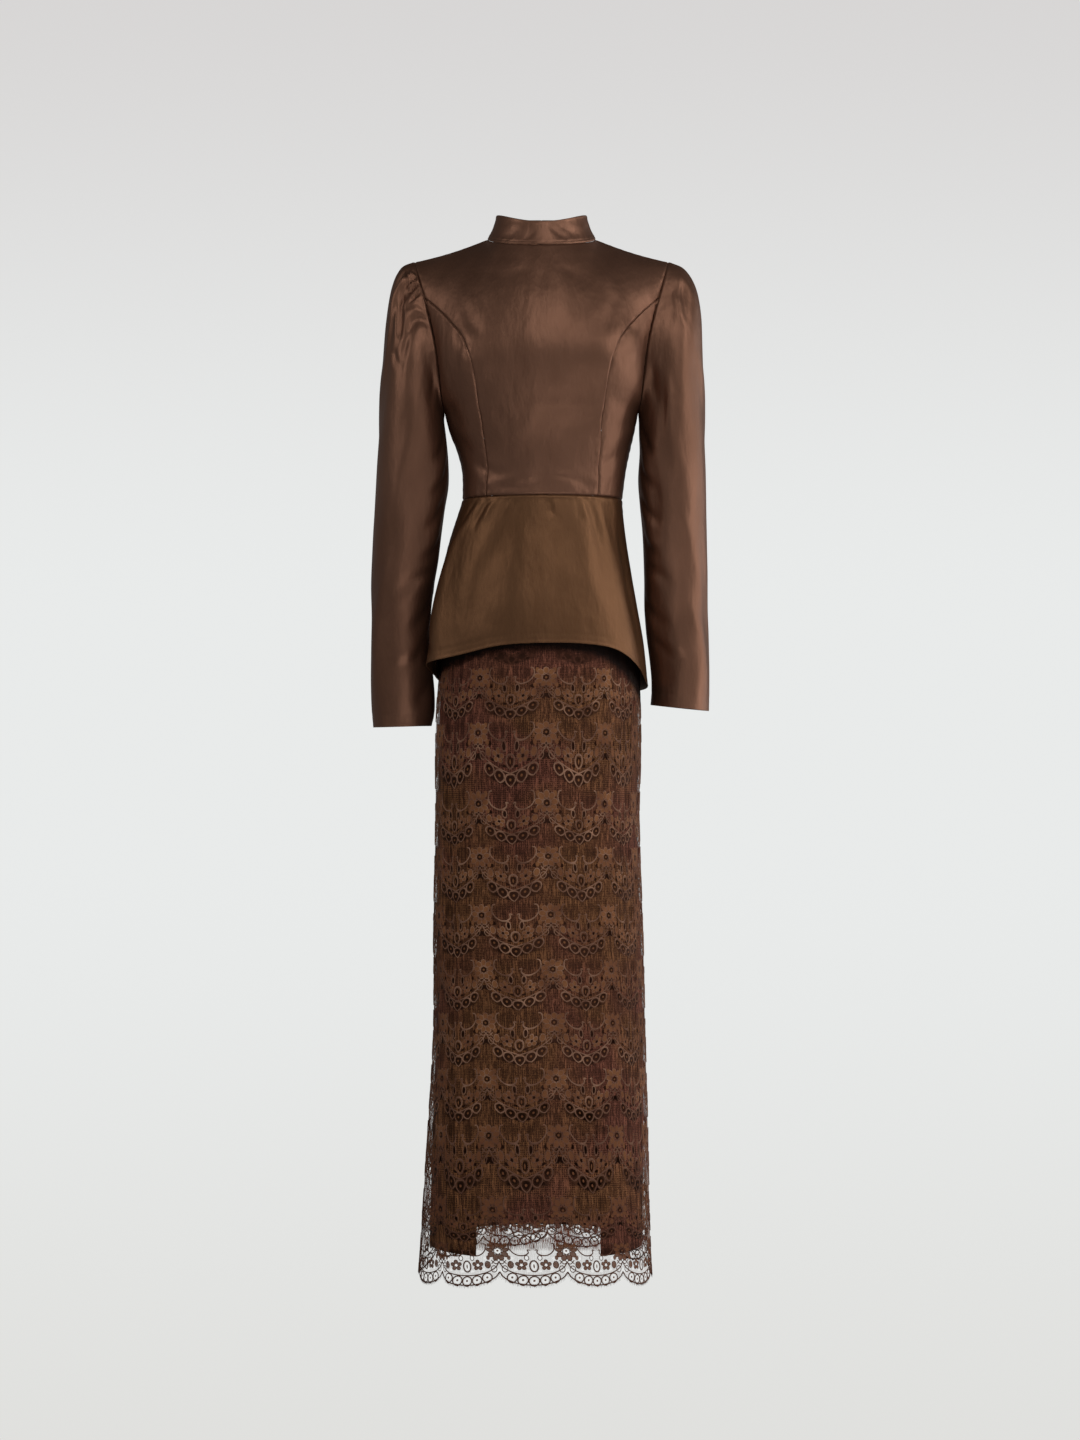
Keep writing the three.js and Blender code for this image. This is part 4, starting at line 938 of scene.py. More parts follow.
# Tight creases at the front of the right sleeve's head, as lines in the front view: x and z of both ends.
HEAD_FOLDS = {
    "right": (
        (-184, -74, -188, -138, 2.6, -4.2, 1, 1), (-178, -42, -185, -74, 2.0, -3.0, -3, 1),
        (-180, -64, -163, -51, 2.0, -3.2, 1, 1), (-176, -74, -160, -59, 2.0, -3.0, 1, -1),
        (-173, -88, -160, -70, 2.2, -2.8, 1, 1), (-172, -43, -164, -49, 1.8, -2.4, 0, 1),
        (-178, -54, -168, -46, 2.4, 2.4, 0, 1), (-176, -69, -162, -56, 2.2, 2.2, 0, 1),
        (-172, -81, -160, -65, 2.2, 2.2, 0, 1), (-192, -60, -196, -120, 4.0, 1.8, 1, 1),
        (-178, -92, -177, -140, 4.5, 1.8, 0, 1), (-196, -150, -184, -178, 4.0, -1.6, 2, 1),
    ),
    "left": ((186, -58, 194, -120, 4.0, -1.4, 2, 1), (176, -70, 182, -120, 5.0, 1.2, 1, 1)),
}
DENSE_TURN, DENSER = 0.44, 0.55  # where round the sleeve the columns lie closer, and by how much

# Dents that the solids have too: turn in degrees from the underarm over the front, z, width, height and depth.
SLEEVE_DENTS = {
    "right": ((122, -128, 13, 46, 4), (62, -330, 16, 60, 4), (300, -360, 20, 60, 4), (40, -600, 18, 40, 4)),
    "left": ((80, -230, 20, 80, 4), (52, -345, 14, 50, 4), (290, -350, 20, 60, 4), (60, -560, 16, 60, 3)),
}
# Folds, as lines over the unrolled sleeve: millimetres round from the underarm, over the front, and z.
SLEEVE_FOLDS = {
    "right": (
        (128, -62, 112, -150, 5, -3.0, 3, 1), (98, -66, 92, -100, 3.2, 2.0, 2, 1),
        (108, -58, 103, -94, 3.0, 2.2, 2, 1), (118, -50, 116, -86, 3.0, 2.0, 2, -1),
        (88, -80, 80, -116, 3.5, 1.6, 2, 1), (60, -150, 84, -230, 9, -2.0, 5, 1),
        (20, -255, 66, -300, 7, -2.6, 6, 1), (14, -290, 56, -348, 7, -2.4, 5, -1),
        (18, -345, 60, -392, 7, -2.2, 5, 1), (10, -392, 50, -428, 7, -2.6, 4, -1),
        (22, -440, 78, -470, 8, -2.2, -5, 1), (12, -480, 60, -520, 8, -2.4, 4, 1),
        (30, -540, 74, -572, 8, -2.0, 5, -1), (10, -580, 52, -616, 8, -2.4, 4, 1),
        (122, -250, 116, -420, 15, 1.8, 4, 1), (96, -430, 108, -600, 13, 1.6, -4, -1),
        (140, -470, 128, -620, 12, -1.6, 3, 1), (330, -300, 280, -352, 9, -2.4, 6, 1),
        (325, -380, 270, -430, 9, -2.4, 6, -1), (318, -470, 262, -520, 9, -2.0, 6, 1),
        (220, -150, 232, -300, 14, 1.8, 4, 1), (200, -340, 212, -520, 13, 1.6, 4, 1),
    ),
    "left": (
        (112, -70, 104, -150, 10, 2.0, 3, 1), (118, -180, 112, -330, 13, 2.4, 4, 1),
        (88, -120, 78, -230, 11, -2.2, 4, -1), (58, -160, 84, -226, 8, -1.8, 5, 1),
        (20, -250, 68, -290, 7, -2.6, 6, 1), (14, -288, 58, -336, 7, -2.4, 5, -1),
        (16, -340, 62, -380, 7, -2.6, 5, 1), (10, -386, 52, -424, 7, -2.4, 4, -1),
        (20, -434, 72, -462, 8, -2.2, -5, 1), (10, -476, 58, -514, 8, -2.4, 4, 1),
        (28, -530, 72, -560, 8, -1.8, 5, -1), (100, -360, 112, -470, 13, 1.9, -4, 1),
        (92, -480, 100, -600, 12, 1.6, -3, -1), (128, -420, 122, -590, 11, -1.5, 3, 1),
        (332, -290, 284, -344, 9, -2.4, 6, 1), (326, -372, 272, -424, 9, -2.4, 6, -1),
        (318, -460, 262, -512, 9, -2.0, 6, 1), (216, -150, 230, -300, 14, 1.8, 4, 1),
        (202, -330, 214, -510, 13, 1.6, 4, 1),
    ),
}


def sleeve_loop(sign, q):
    """The armhole's edge as a ring: q goes from the underarm (0) over the front to the tip (1/2) and back."""
    place = np.minimum(q, 1 - q) * 2 * (len(RING_LEVELS) - 1)
    up = np.interp(place, np.arange(len(RING_LEVELS)), RING_LEVELS) - 1
    half = np.where(q <= 0.5, -read(ARMHOLE, "up", "front", up), read(ARMHOLE, "up", "back", up))
    return stack(sign * (read(ARMHOLE, "up", "x", up) + SEAM), half, read(ARMHOLE, "up", "z", up))


def sleeve_grid(side, ring, q):
    """Rings that pass from the armhole's loop to ellipses hung between an outer and an inner edge: each place is
    a share of the way from the outer edge to the inner one, a depth from front to back, and a small way aside."""
    sign = SIGN[side]
    loop = sleeve_loop(sign, q)
    tip = sleeve_loop(sign, np.array([0.5]))[0]
    slant = sleeve_loop(sign, np.array([0.0]))[0] - tip
    slant[1] = 0
    length = np.hypot(*slant[[0, 2]])
    away = loop - tip
    down0 = (away[..., 0] * slant[0] + away[..., 2] * slant[2]) / length**2
    aside0 = (away[..., 0] * slant[2] - away[..., 2] * slant[0]) / length
    row = {name: read(SLEEVES[side], "ring", name, ring) for name in SLEEVE_COLUMNS.split()[1:]}
    turn = 2 * np.pi * q
    down = blend(down0, (1 + np.cos(turn)) / 2, row["round"])
    y = blend(loop[..., 1], row["mid"] - row["depth"] * np.sin(turn), row["round"])
    aside = aside0 * (1 - row["round"])
    across_x = sign * (row["inX"] - row["outX"])
    across_z = row["inZ"] - row["outZ"]
    width = np.hypot(across_x, across_z)
    seam = sign * SEAM * smooth(ring, 1, 0)
    x = sign * row["outX"] + seam + across_x * down + aside * across_z / width
    z = row["outZ"] + across_z * down - aside * across_x / width
    grid = stack(x, y, z)
    girth = 2 * np.pi * row["depth"] / 360
    sink = np.zeros(grid.shape[:2])
    for place, height, wide, tall, deep in SLEEVE_DENTS[side]:
        round_way = (np.degrees(turn) - place) * girth / wide
        sink = sink - deep * bell(np.hypot(round_way, (z - height) / tall))
    near_tip = np.maximum(0, 1 - np.abs(q - 0.5) / (GATHER_REACH / 2))
    uneven = q + 0.006 * np.sin(2 * np.pi * 9 * q + 1.0)
    crest = np.cos(2 * np.pi * GATHERS * uneven) + 0.35 * np.cos(2 * np.pi * 23 * q + 0.8)
    sink = sink + row["gather"] * crest * np.minimum(1, near_tip * 3)
    return grid, sink


def seam_allowance(ring, sign):
    """Two rings that turn the sleeve's first ring under the body's edge, so that the seam lets no light through."""
    away = unit((ring - ring.mean(0)) * (0, 1, 1))
    turned_in = ((3.0, 7.0), (1.6, 0.6))  # how far towards the ring's middle, and towards the body
    return np.stack([ring - closer * away - sign * np.array((inward, 0, 0)) for closer, inward in turned_in])


def make_sleeve(side):
    """A set-in sleeve: its rings, raised by dents, gathers, folds, slow waves round it and small ticks at the
    armhole seam. Its cuff is turned in, and the stitching shows as a dent 16 mm above the edge."""
    down = np.linspace(0, 1, SLEEVE_ROWS)
    ring = (14 * blend(down**1.4, down, 0.3))[:, None]
    s = np.linspace(0, 1, SLEEVE_TURNS + 1)[None, :-1]
    q = s - DENSER / (2 * np.pi) * (np.sin(2 * np.pi * (s - DENSE_TURN)) + np.sin(2 * np.pi * DENSE_TURN))
    grid, sink = sleeve_grid(side, ring, q + 0 * ring)
    measured(f"{side}_sleeve", grid, True)
    looped = np.concatenate([grid, grid[:, :1]], 1)
    round_mm = spans(looped, 1)[:, :-1]
    z = grid[..., 2]
    held = smooth(ring, 0.0, 1.2)
    relief = sink + folds(round_mm, z, SLEEVE_FOLDS[side]) * smooth(ring, 0.3, 1.4)
    relief = relief + folds(grid[..., 0], z, HEAD_FOLDS[side]) * smooth(-grid[..., 1], -4, 8) * smooth(ring, 0, 0.3)
    whole = spans(looped, 1)[:, -1:]
    wrap = 0.5 * np.sin(2 * np.pi * q * 3 + z / 60) + 0.4 * np.sin(2 * np.pi * q * 5 - z / 43 + 1.3)
    relief = relief + 0.5 * wrap * held + 0.12 * drift(np.sin(2 * np.pi * q) * whole / 4, z, 9, 7.7)
    rise = spans(grid, 0)
    left_over = rise[-1:] - rise
    relief = relief - 0.2 * bell((left_over - 16) / 2.4) + 0.25 * bell((left_over - 1.5) / 1.8)
    tick = np.sin(2 * np.pi * q * 90 + 3 * drift(round_mm, rise, 17, 8.8)) * (0.6 + 0.4 * np.sin(14 * np.pi * q))
    relief = relief - SEAM_DIP * bell(rise / SEAM_WIDTH) + 1.5 * PUCKER * tick * bell((rise - 3.5) / 4.5)
    grid = raised(grid, relief, True)
    grid = np.concatenate([seam_allowance(grid[0], SIGN[side]), grid])
    node = f"sleeve_{side}"
    return cloth_piece(f"{side}_sleeve_piece", [(grid, SATIN)], node, SATIN_CLOTH, True)


# ---- Peplum ---------------------------------------------------------------------------------------------------

PEPLUM = table(
    "z right left front back",
    (WAIST_Z - SEAM, 104.5, 107, 85, 79), (-400, 122, 111, 93, 92), (-449, 133, 118.5, 101, 107),
    (-496, 139, 127, 108, 118), (-540, 141, 135.5, 113, 126), (-600, 141, 142, 118, 133),
)
PEPLUM_HEM = table(
    "turn z",
    (-180, -597), (-120, -590), (-90, -578), (-70, -563), (-45, -551), (-22, -541), (0, -538), (25, -539),
    (45, -546), (62, -566), (78, -588), (90, -593), (120, -598), (180, -597),
)
FLUTES = (
    (-69, 13, 22), (-36, 14, -3), (58, 16, 4), (132, 16, 7), (162, 12, -3), (-135, 16, 7), (-158, 12, -3),
)
FLUTE_TOP, PEPLUM_ROWS = -375.0, 90
# Folds, as lines over the unrolled peplum: degrees from the centre front times two, and z.
PEPLUM_FOLDS = (
    (-96, -352, -148, -440, 10, 1.7, 6, 1), (-82, -350, -96, -392, 4.5, -1.3, 3, -1),
    (-70, -350, -80, -380, 4, 1.4, 2, 1), (-108, -350, -126, -386, 4.5, -1.0, 2, 1),
    (-128, -410, -142, -540, 15, 2.2, 6, 1), (-152, -520, -138, -552, 7, -3.2, 3, 1),
    (-60, -400, -76, -530, 15, -1.8, 5, 1), (-20, -380, -30, -520, 18, 1.4, 4, 1),
    (-34, -350, -40, -372, 4, -1.2, 1, 1), (12, -350, 14, -374, 4, -1.2, 1, -1),
    (30, -372, 46, -520, 17, -1.4, -4, -1), (88, -350, 112, -534, 13, 2.0, -6, -1),
    (70, -352, 84, -420, 7, -1.0, -3, 1), (58, -350, 64, -378, 4, 1.2, 1, 1),
    (134, -380, 140, -560, 11, -2.2, -4, 1), (160, -360, 166, -560, 13, 2.0, -4, 1),
    (206, -360, 226, -570, 16, 2.2, -5, -1), (262, -360, 256, -572, 16, 2.4, 4, 1),
    (312, -360, 320, -570, 15, 2.0, 4, -1), (286, -352, 292, -400, 6, -1.8, 2, 1),
    (-206, -360, -226, -570, 16, 2.2, 5, 1), (-262, -360, -256, -572, 16, 2.4, -4, -1),
    (-312, -360, -320, -570, 15, 2.0, -4, 1), (-240, -352, -246, -400, 6, -1.8, -2, 1),
)


def section(rows, squareness, z, turn, inset=0.0):
    """A place on a level section: turn goes round from the centre front, positive to the wearer's left."""
    front = np.cos(turn) >= -1e-9
    level = np.abs(np.cos(turn)) ** squareness * np.sign(np.cos(turn))
    reach = sided(rows, "z", z, np.sin(turn)) - inset
    depth = np.where(front, read(rows, "z", "front", z), read(rows, "z", "back", z)) - inset
    return stack(reach * np.sin(turn), -depth * level, z)


def on_peplum(down, turn):
    """Down from the waist to the hem's height at that turn, with flutes that open towards the hem."""
    degrees = np.degrees(turn)
    z = blend(PEPLUM["z"][0], read(PEPLUM_HEM, "turn", "z", degrees), down)
    plain = section(PEPLUM, SQUARENESS, z, turn)
    free = np.maximum(0, (FLUTE_TOP - z) / (FLUTE_TOP - PEPLUM_HEM["z"][0]))
    out = sum(far * bell((degrees - place) / wide) for place, wide, far in FLUTES)
    return plain + unit(plain * (1, 1, 0)) * (out * free**1.1)[..., None]


def parted(grid, turn):
    """The grid with its first and last columns moved in by half a seam, along the level way round."""
    clear = np.zeros(grid.shape[1])
    clear[0], clear[-1] = SEAM / 2, -SEAM / 2
    return grid + clear[None, :, None] * stack(np.cos(turn), np.sin(turn), 0 * turn)


def make_peplum(name, node, start, stop, count):
    """One piece of the peplum between two turns, raised by its folds and rolled at the hem, which fades at its
    side seams."""
    down = eased(PEPLUM_ROWS, 0.5)[:, None]
    turn = np.radians(blend(start, stop, eased(count, 0.5)))[None, :]
    grid = parted(on_peplum(down + 0 * turn, turn + 0 * down), turn)
    measured(name, grid)
    u, z = 2 * np.degrees(turn) + 0 * down, grid[..., 2]
    relief = folds(u, z, PEPLUM_FOLDS) * smooth(down, 0, 0.06)
    relief = relief + 0.4 * drift(u, z, 30, 9.1) + 0.14 * drift(u, z, 9, 9.9)
    rise = spans(grid, 0)
    left_over = rise[-1:] - rise
    relief = relief + 0.35 * bell((left_over - 1.0) / 2.0) - 0.12 * bell((left_over - 12) / 3.0)
    relief = relief + 0.3 * bell((rise - 2.4) / 2.0)
    edge_fade = smooth(np.minimum(eased(count, 0.5), 1 - eased(count, 0.5)), 0, 0.03)[None, :]
    grid = raised(grid, relief * edge_fade)
    grid = raised(grid, sewn(grid, ("left", "right", "top"), start * 0.1, 1.2))
    return cloth_piece(name, [(grid, SATIN)], node, WARM_SHADED_SATIN)


# ---- Skirt ----------------------------------------------------------------------------------------------------

SKIRT = table(
    "z right left front back ease",
    (-377, 98, 99.5, 79, 77, 1.3), (-410, 106, 104, 87, 90, 2.4), (-449, 117, 111, 94, 100, 3.2),
    (-500, 127, 119.5, 99, 109, 3.4), (-560, 133, 128.5, 102, 115, 3.4), (-610, 137.5, 131, 103, 117, 3.4),
    (-677, 140, 132, 103, 116, 3.4), (-770, 140.5, 130, 103, 114, 3.4), (-930, 143, 135, 105, 113, 3.4),
    (-1049, 143.5, 137.7, 107, 114, 3.4), (-1182, 151, 141.6, 111, 116, 6.5),
    (-1289, 158, 144.5, 114, 118, 10.5), (-1380, 163.5, 147.5, 117, 120, 13),
)
SKIRT_SQUARENESS, BAND_TOP_Z, SKIRT_TOP_Z, LINING_HEM_Z = 0.88, -347.0, -377.0, -1330.0
SLIT_HALF_WIDTH, SLIT_TALL, SLIT_ROUND = 84.0, 200.0, 46.2
HEM_HALF_WIDTH = 147.0  # of the lining at its hem
SCALLOPS, SCALLOP_PHASE, SCALLOP_DEEP, LACE_TIP_Z, LACE_TIP_DROP = 11, -0.1, 20.0, -1361.0, 14.0
LACE_FOLD = table(
    "z x", (-560, -137), (-737, -127), (-932, -130), (-1010, -109), (-1129, -108), (-1252, -112), (-1390, -117)
)
LACE_FOLD_WIDTH, LACE_FOLD_DEPTH = 9.0, 3.2
# Folds of the lace, as lines over the front view: x and z of both ends, width, height, bow and lean.
LACE_FOLDS = (
    (-96, -620, -104, -900, 12, 0.9, 6, 1), (78, -600, 92, -820, 14, 0.9, -5, -1),
    (30, -700, 22, -980, 18, 0.7, 5, 1), (-40, -860, -52, -1180, 18, 0.8, 6, 1),
    (84, -900, 96, -1260, 16, 1.0, -6, -1), (-70, -1180, -78, -1360, 11, 1.1, 3, 1),
    (44, -1160, 50, -1360, 12, 1.1, -3, -1), (-8, -1200, -12, -1360, 11, -0.9, 2, 1),
    (118, -1150, 126, -1370, 9, 1.2, -2, -1),
)


def tip_z(turn):
    """The height of the scallops' tips, which drops towards both sides."""
    return LACE_TIP_Z - LACE_TIP_DROP * np.sin(turn) ** 2


def lace_hem(turn):
    """Round scallops: the tip's height plus a share of a circle's rise on both sides of it."""
    along = np.degrees(turn) / 360 * SCALLOPS - SCALLOP_PHASE
    from_tip = 2 * np.abs(along - np.round(along))
    return tip_z(turn) + SCALLOP_DEEP * (1 - np.sqrt(1 - 0.98 * from_tip**2))


def on_lace(z, turn):
    """The lace at a height and turn, with its long fold and soft waves; it hangs free below the hips."""
    plain = section(SKIRT, SKIRT_SQUARENESS, z, turn)
    front = plain[..., 1] < 0
    aside = (plain[..., 0] - read(LACE_FOLD, "z", "x", z)) / LACE_FOLD_WIDTH
    fade = np.clip((-z - 560) / 150, 0, 1)
    ripple = LACE_FOLD_DEPTH * fade * front * bell(aside)
    x = np.where(front, plain[..., 0], -0.9 * plain[..., 0])
    ripple = ripple + fade * folds(x, z, LACE_FOLDS)
    free = smooth(-z, 1120, 1360)
    ripple = ripple + free * (0.9 * np.sin(7 * turn + 0.6) + 0.6 * np.sin(12 * turn + z / 90))
    return plain + unit(plain * (1, 1, 0)) * ripple[..., None]


def on_lining(z, turn):
    """The lining: the lace's plain section, moved in by its ease."""
    return section(SKIRT, SKIRT_SQUARENESS, z, turn, read(SKIRT, "z", "ease", z))


def hemmed(grid, seed):
    """The lining, slightly uneven, with its hem: rolled at the edge and drawn in by stitches 12 mm above it."""
    rise = spans(grid, 0)
    above = rise[-1:] - rise
    hem = 0.5 * bell((above - 2) / 2.4) - 0.35 * bell((above - 12) / 1.3)
    return raised(grid, hem + 0.3 * drift(grid[..., 0], grid[..., 2], 40, seed))


def make_lining():
    """The front lining is three walls side by side, whose middle one ends at the slit's arch; the back is one."""
    down = np.linspace(0, 1, 70)[:, None]

    def lining_grid(turn, low):
        return on_lining(blend(SKIRT_TOP_Z - SEAM, low, down), turn + 0 * down)

    slit = np.arcsin(SLIT_HALF_WIDTH / HEM_HALF_WIDTH)
    middle_turn = np.linspace(-slit, slit, 53)[None, :]
    x = np.abs(HEM_HALF_WIDTH * np.sin(middle_turn))
    past = np.clip(x - (SLIT_HALF_WIDTH - SLIT_ROUND), 0, SLIT_ROUND)
    arch = LINING_HEM_Z + SLIT_TALL - (SLIT_ROUND - np.sqrt(SLIT_ROUND**2 - past**2))
    grids = [lining_grid(middle_turn, arch)]
    for ends in ((-np.pi / 2, -slit), (slit, np.pi / 2)):
        grids.append(lining_grid(np.linspace(*ends, 28)[None, :], LINING_HEM_Z))
    parts = [(hemmed(grid, 3.3), LINING_WALL) for grid in grids]
    front = cloth_piece("front_lining", parts, "skirt_lining_front", LINING_CLOTH)
    measured("front_lining", lining_grid(np.linspace(-np.pi / 2, np.pi / 2, 80)[None, :], LINING_HEM_Z))
    CUTS["front_lining"] = (*CUTS["front_lining"][:2], sum(cloth_area(grid) for grid in grids))
    grid = lining_grid(np.linspace(np.pi / 2, 3 * np.pi / 2, 90)[None, :], LINING_HEM_Z)
    measured("back_lining", grid)
    parts = [(hemmed(grid, 4.3), LINING_WALL)]
    return front, cloth_piece("back_lining", parts, "skirt_lining_back", LINING_CLOTH)


TAPE_WIDE, TAPE_THICK, TAPE_CLEAR, BACK_RADIUS = 18.0, 0.6, 0.4, 90.0


def make_zip_tape():
    """The zip's tape, flat against the inside of the centre back: the centre line of the peplum, of the back and of
    the collar, moved in by the cloth's thickness, and to both sides a parabola as hollow as the back."""
    level, up = np.linspace(0, 2, 80)[:, None], np.linspace(0, 0.97, 14)[:, None]
    down = np.linspace(0.02, 0.94, 20)[:, None]
    lines = (
        on_peplum(down, np.pi + 0 * down) - (0, SATIN + TAPE_CLEAR, 0),
        quarter(1, "back", 0 * level, level) - (0, SATIN + TAPE_CLEAR, 0),
        on_collar(up, np.pi + 0 * up) - (0, COLLAR_WALL + TAPE_CLEAR, 0),
    )
    line = np.concatenate(lines)[:, 0]
    line = line[np.argsort(line[:, 2])]
    line = line[np.insert(np.diff(line[:, 2]) > 0.8, 0, True)][:, None]
    x = np.linspace(-TAPE_WIDE / 2, TAPE_WIDE / 2, 7)[None, :]
    grid = stack(x, line[..., 1] - x * x / (2 * BACK_RADIUS), line[..., 2])
    measured("zip_tape", grid)
    return cloth_piece("zip_tape", [(grid, TAPE_THICK)], None, LINING_CLOTH)


def make_waistband():
    """Elastic in upright ribs, a ring just inside the tunic's waist that narrows to the skirt's top."""
    down = np.linspace(0, 1, 14)[:, None]
    turn = np.linspace(-np.pi, np.pi, 321)[None, :-1]
    high = section(PEPLUM, SQUARENESS, np.full_like(turn, WAIST_Z), turn, SATIN + SEAM)
    low = section(SKIRT, SKIRT_SQUARENESS, np.full_like(turn, SKIRT_TOP_Z), turn)
    grid = blend(high, low, down[..., None])
    grid[..., 2] = blend(BAND_TOP_Z, SKIRT_TOP_Z, down) + 0 * turn
    measured("waist_elastic", grid, True)
    grid = raised(grid, -0.35 + 0.3 * np.cos(64 * turn) + 0 * down, True)
    return cloth_piece("waist_elastic", [(grid, BAND_WALL)], "skirt_waistband", ELASTIC_CLOTH, True)


# ---- Lace -----------------------------------------------------------------------------------------------------

# Heights of the rows' flowers at the centre front, and each row's repeat is stretched to the next one.
FLOWER_Z = np.array([-1316, -1265, -1169, -1097, -1025, -957, -887, -812, -744, -652, -582, -512], float)
FLOWER_B = 45.0  # the flower's height in the repeat, above the scallop's tip
DRAWN_B = np.array([-100, *(FLOWER_B + UNIT_TALL * np.arange(13))], float)
DRAWN_Z = np.array([LACE_TIP_Z - 100, *FLOWER_Z, -440], float)
# How far the columns lean to the right as they climb, in degrees, and how much wider they stand in front and at
# the back than at the sides.
COLUMN_SHIFT = table(
    "z turn", (-1361, 0), (-1340, 0), (-1265, -3), (-1097, -7), (-957, -9), (-744, -12.5), (-512, -13)
)
COLUMN_SPREAD = table("z share", (-1361, 0), (-1340, 0), (-1265, 0.06), (-1097, 0.12), (-887, 0.17), (-512, 0.2))


def scallop_rise(a):
    """The edge's rise above the tip, at a way across the repeat: a share of a circle's."""
    return SCALLOP_DEEP * (1 - np.sqrt(1 - 0.98 * np.clip(np.abs(a) / (UNIT_WIDE / 2), 0, 1) ** 2))


def oval(a, b, wide, tall, count):
    """An ellipse round (a, b), closed by a last place on the first."""
    t = np.linspace(0, 2 * np.pi, count + 1)
    return np.stack([a + wide * np.cos(t), b + tall * np.sin(t)], -1)


def blossom(a, b, radius, petals, count):
    """A flower's outline: a circle whose radius swells to full at each petal and dips between them."""
    t = np.linspace(0, 2 * np.pi, count + 1)
    r = radius * (0.66 + 0.34 * np.abs(np.cos(petals * t / 2)) ** 0.7)
    return np.stack([a + r * np.cos(t + np.pi / 2), b + r * np.sin(t + np.pi / 2)], -1)


def petals(a, b, near, far, wide, count):
    """Ovals round a middle, each long from near to far and wide to either side."""
    s = np.linspace(0, 2 * np.pi, 9)
    along, aside = (near + far) / 2 + (far - near) / 2 * np.cos(s), wide * np.sin(s)
    turns = 2 * np.pi * (np.arange(count) + 0.25) / count
    return [
        np.stack([a + along * np.cos(t) - aside * np.sin(t), b + along * np.sin(t) + aside * np.cos(t)], -1)
        for t in turns
    ]


def curve(*points):
    """A smooth line through the points, four steps between each two, by the Catmull-Rom formula."""
    p = np.array([points[0], *points, points[-1]], float)
    t = np.linspace(0, 1, 5)[:-1, None]
    parts = []
    for k in range(1, len(p) - 2):
        a, b, c, d = p[k - 1 : k + 3]
        bend, twist = 2 * a - 5 * b + 4 * c - d, 3 * b - a - 3 * c + d
        parts.append(0.5 * (2 * b + (c - a) * t + bend * t**2 + twist * t**3))
    return np.concatenate([*parts, p[-2:-1]])


def mirrored(*lines):
    """The lines, and the same ones on the other side of the repeat's middle."""
    return [*lines, *(line * (-1, 1) for line in lines)]


def repeat_drawing(row):
    """The cords, as (line, width), and the filled shapes of one repeat, by millimetres across from the scallop's
    tip and up from it. Only the bottom row has the outer border. In the rows above, the lower part hangs deeper."""
    across = np.linspace(-UNIT_WIDE / 2, UNIT_WIDE / 2, 25)
    rise = scallop_rise(across)
    cords, fills = [], []
    if row == 0:
        cords.append((np.stack([across, rise + 1.0], -1), 1.6))
    cords.append((np.stack([across, rise + 13.2], -1), 1.4))
    for a in (-25, -12.6, 0, 12.6, 25):
        b = scallop_rise(np.array(float(a))) + 6.2
        loop = oval(a, b, 6.0, 5.8, 13)
        loop[:, 1] -= 1.2 * bell((loop[:, 0] - a) / 2.2) * (loop[:, 1] < b)
        cords.append((loop, 1.6))
        fills.append(oval(a, b + 0.3, 1.5, 1.6, 6))
    cords.append((oval(0, 24.8, 4.8, 7.0, 14), 1.8))
    fills.append(oval(0, 24.8, 1.0, 3.0, 6))
    for a in (-14, 14):
        leaves = petals(a, 26.5, 1.8, 7.0, 2.3, 5)
        cords += [(leaf, 0.9) for leaf in leaves]
        fills += leaves
    smile = curve((2.5, 45), (5.5, 46), (5, 41.5), (10, 38.6), (17, 39), (23, 43), (26.5, 50), (25.5, 57), (22, 58))
    cords += [(line, 1.5) for line in mirrored(smile)]
    fills += mirrored(oval(27.5, 36, 2.4, 3.2, 7), oval(30, 55, 2.4, 3.6, 6), oval(26.2, 27, 3.0, 4.2, 8))
    cords += [(line, 1.0) for line in mirrored(oval(7.4, 35.4, 2.6, 3.2, 8), oval(26.2, 27, 3.4, 4.6, 9))]
    for a in (-33.4, 33.4):
        cords.append((oval(a, 21.6, 3.6, 4.2, 9), 1.1))
    leaves = petals(40, FLOWER_B, 5.2, 13.6, 3.3, 9)
    cords += [(leaf, 1.0) for leaf in leaves]
    cords.append((blossom(40, FLOWER_B, 5.2, 6, 18), 1.1))
    fills += [*leaves, oval(40, FLOWER_B, 1.6, 1.6, 6)]
    cords.append((curve((31, 33), (36, 28), (40, 30.5), (44, 33), (49, 28)), 1.1))
    cords.append((curve((31, 28), (36, 33), (40, 30.5), (44, 28), (49, 33)), 1.1))
    return cords, fills


def sagged(a, b, row):
    """The height at which a place of a repeat lies: b plus (SAG plus SAG_SLOPE times the way across), which fades
    between SAG_LOW and SAG_HIGH of the height itself, so it is found by repeated tries."""
    if row == 0:
        return b
    high = b
    for _ in range(8):
        high = b + (SAG + SAG_SLOPE * np.abs(a)) * (1 - smooth(high, SAG_LOW, SAG_HIGH))
    return high


def column_turn(t, z):
    """The turn of a column at a height: even steps t, pushed apart by sin(2t), and leaning with the height."""
    lean = np.radians(read(COLUMN_SHIFT, "z", "turn", z))
    return t + read(COLUMN_SPREAD, "z", "share", z) / 2 * np.sin(2 * t) + lean


def column_of(turn, z):
    """The even step t whose column passes that turn and height, found by repeated tries."""
    t = turn
    for _ in range(12):
        t = t + turn - column_turn(t, z)
    return t


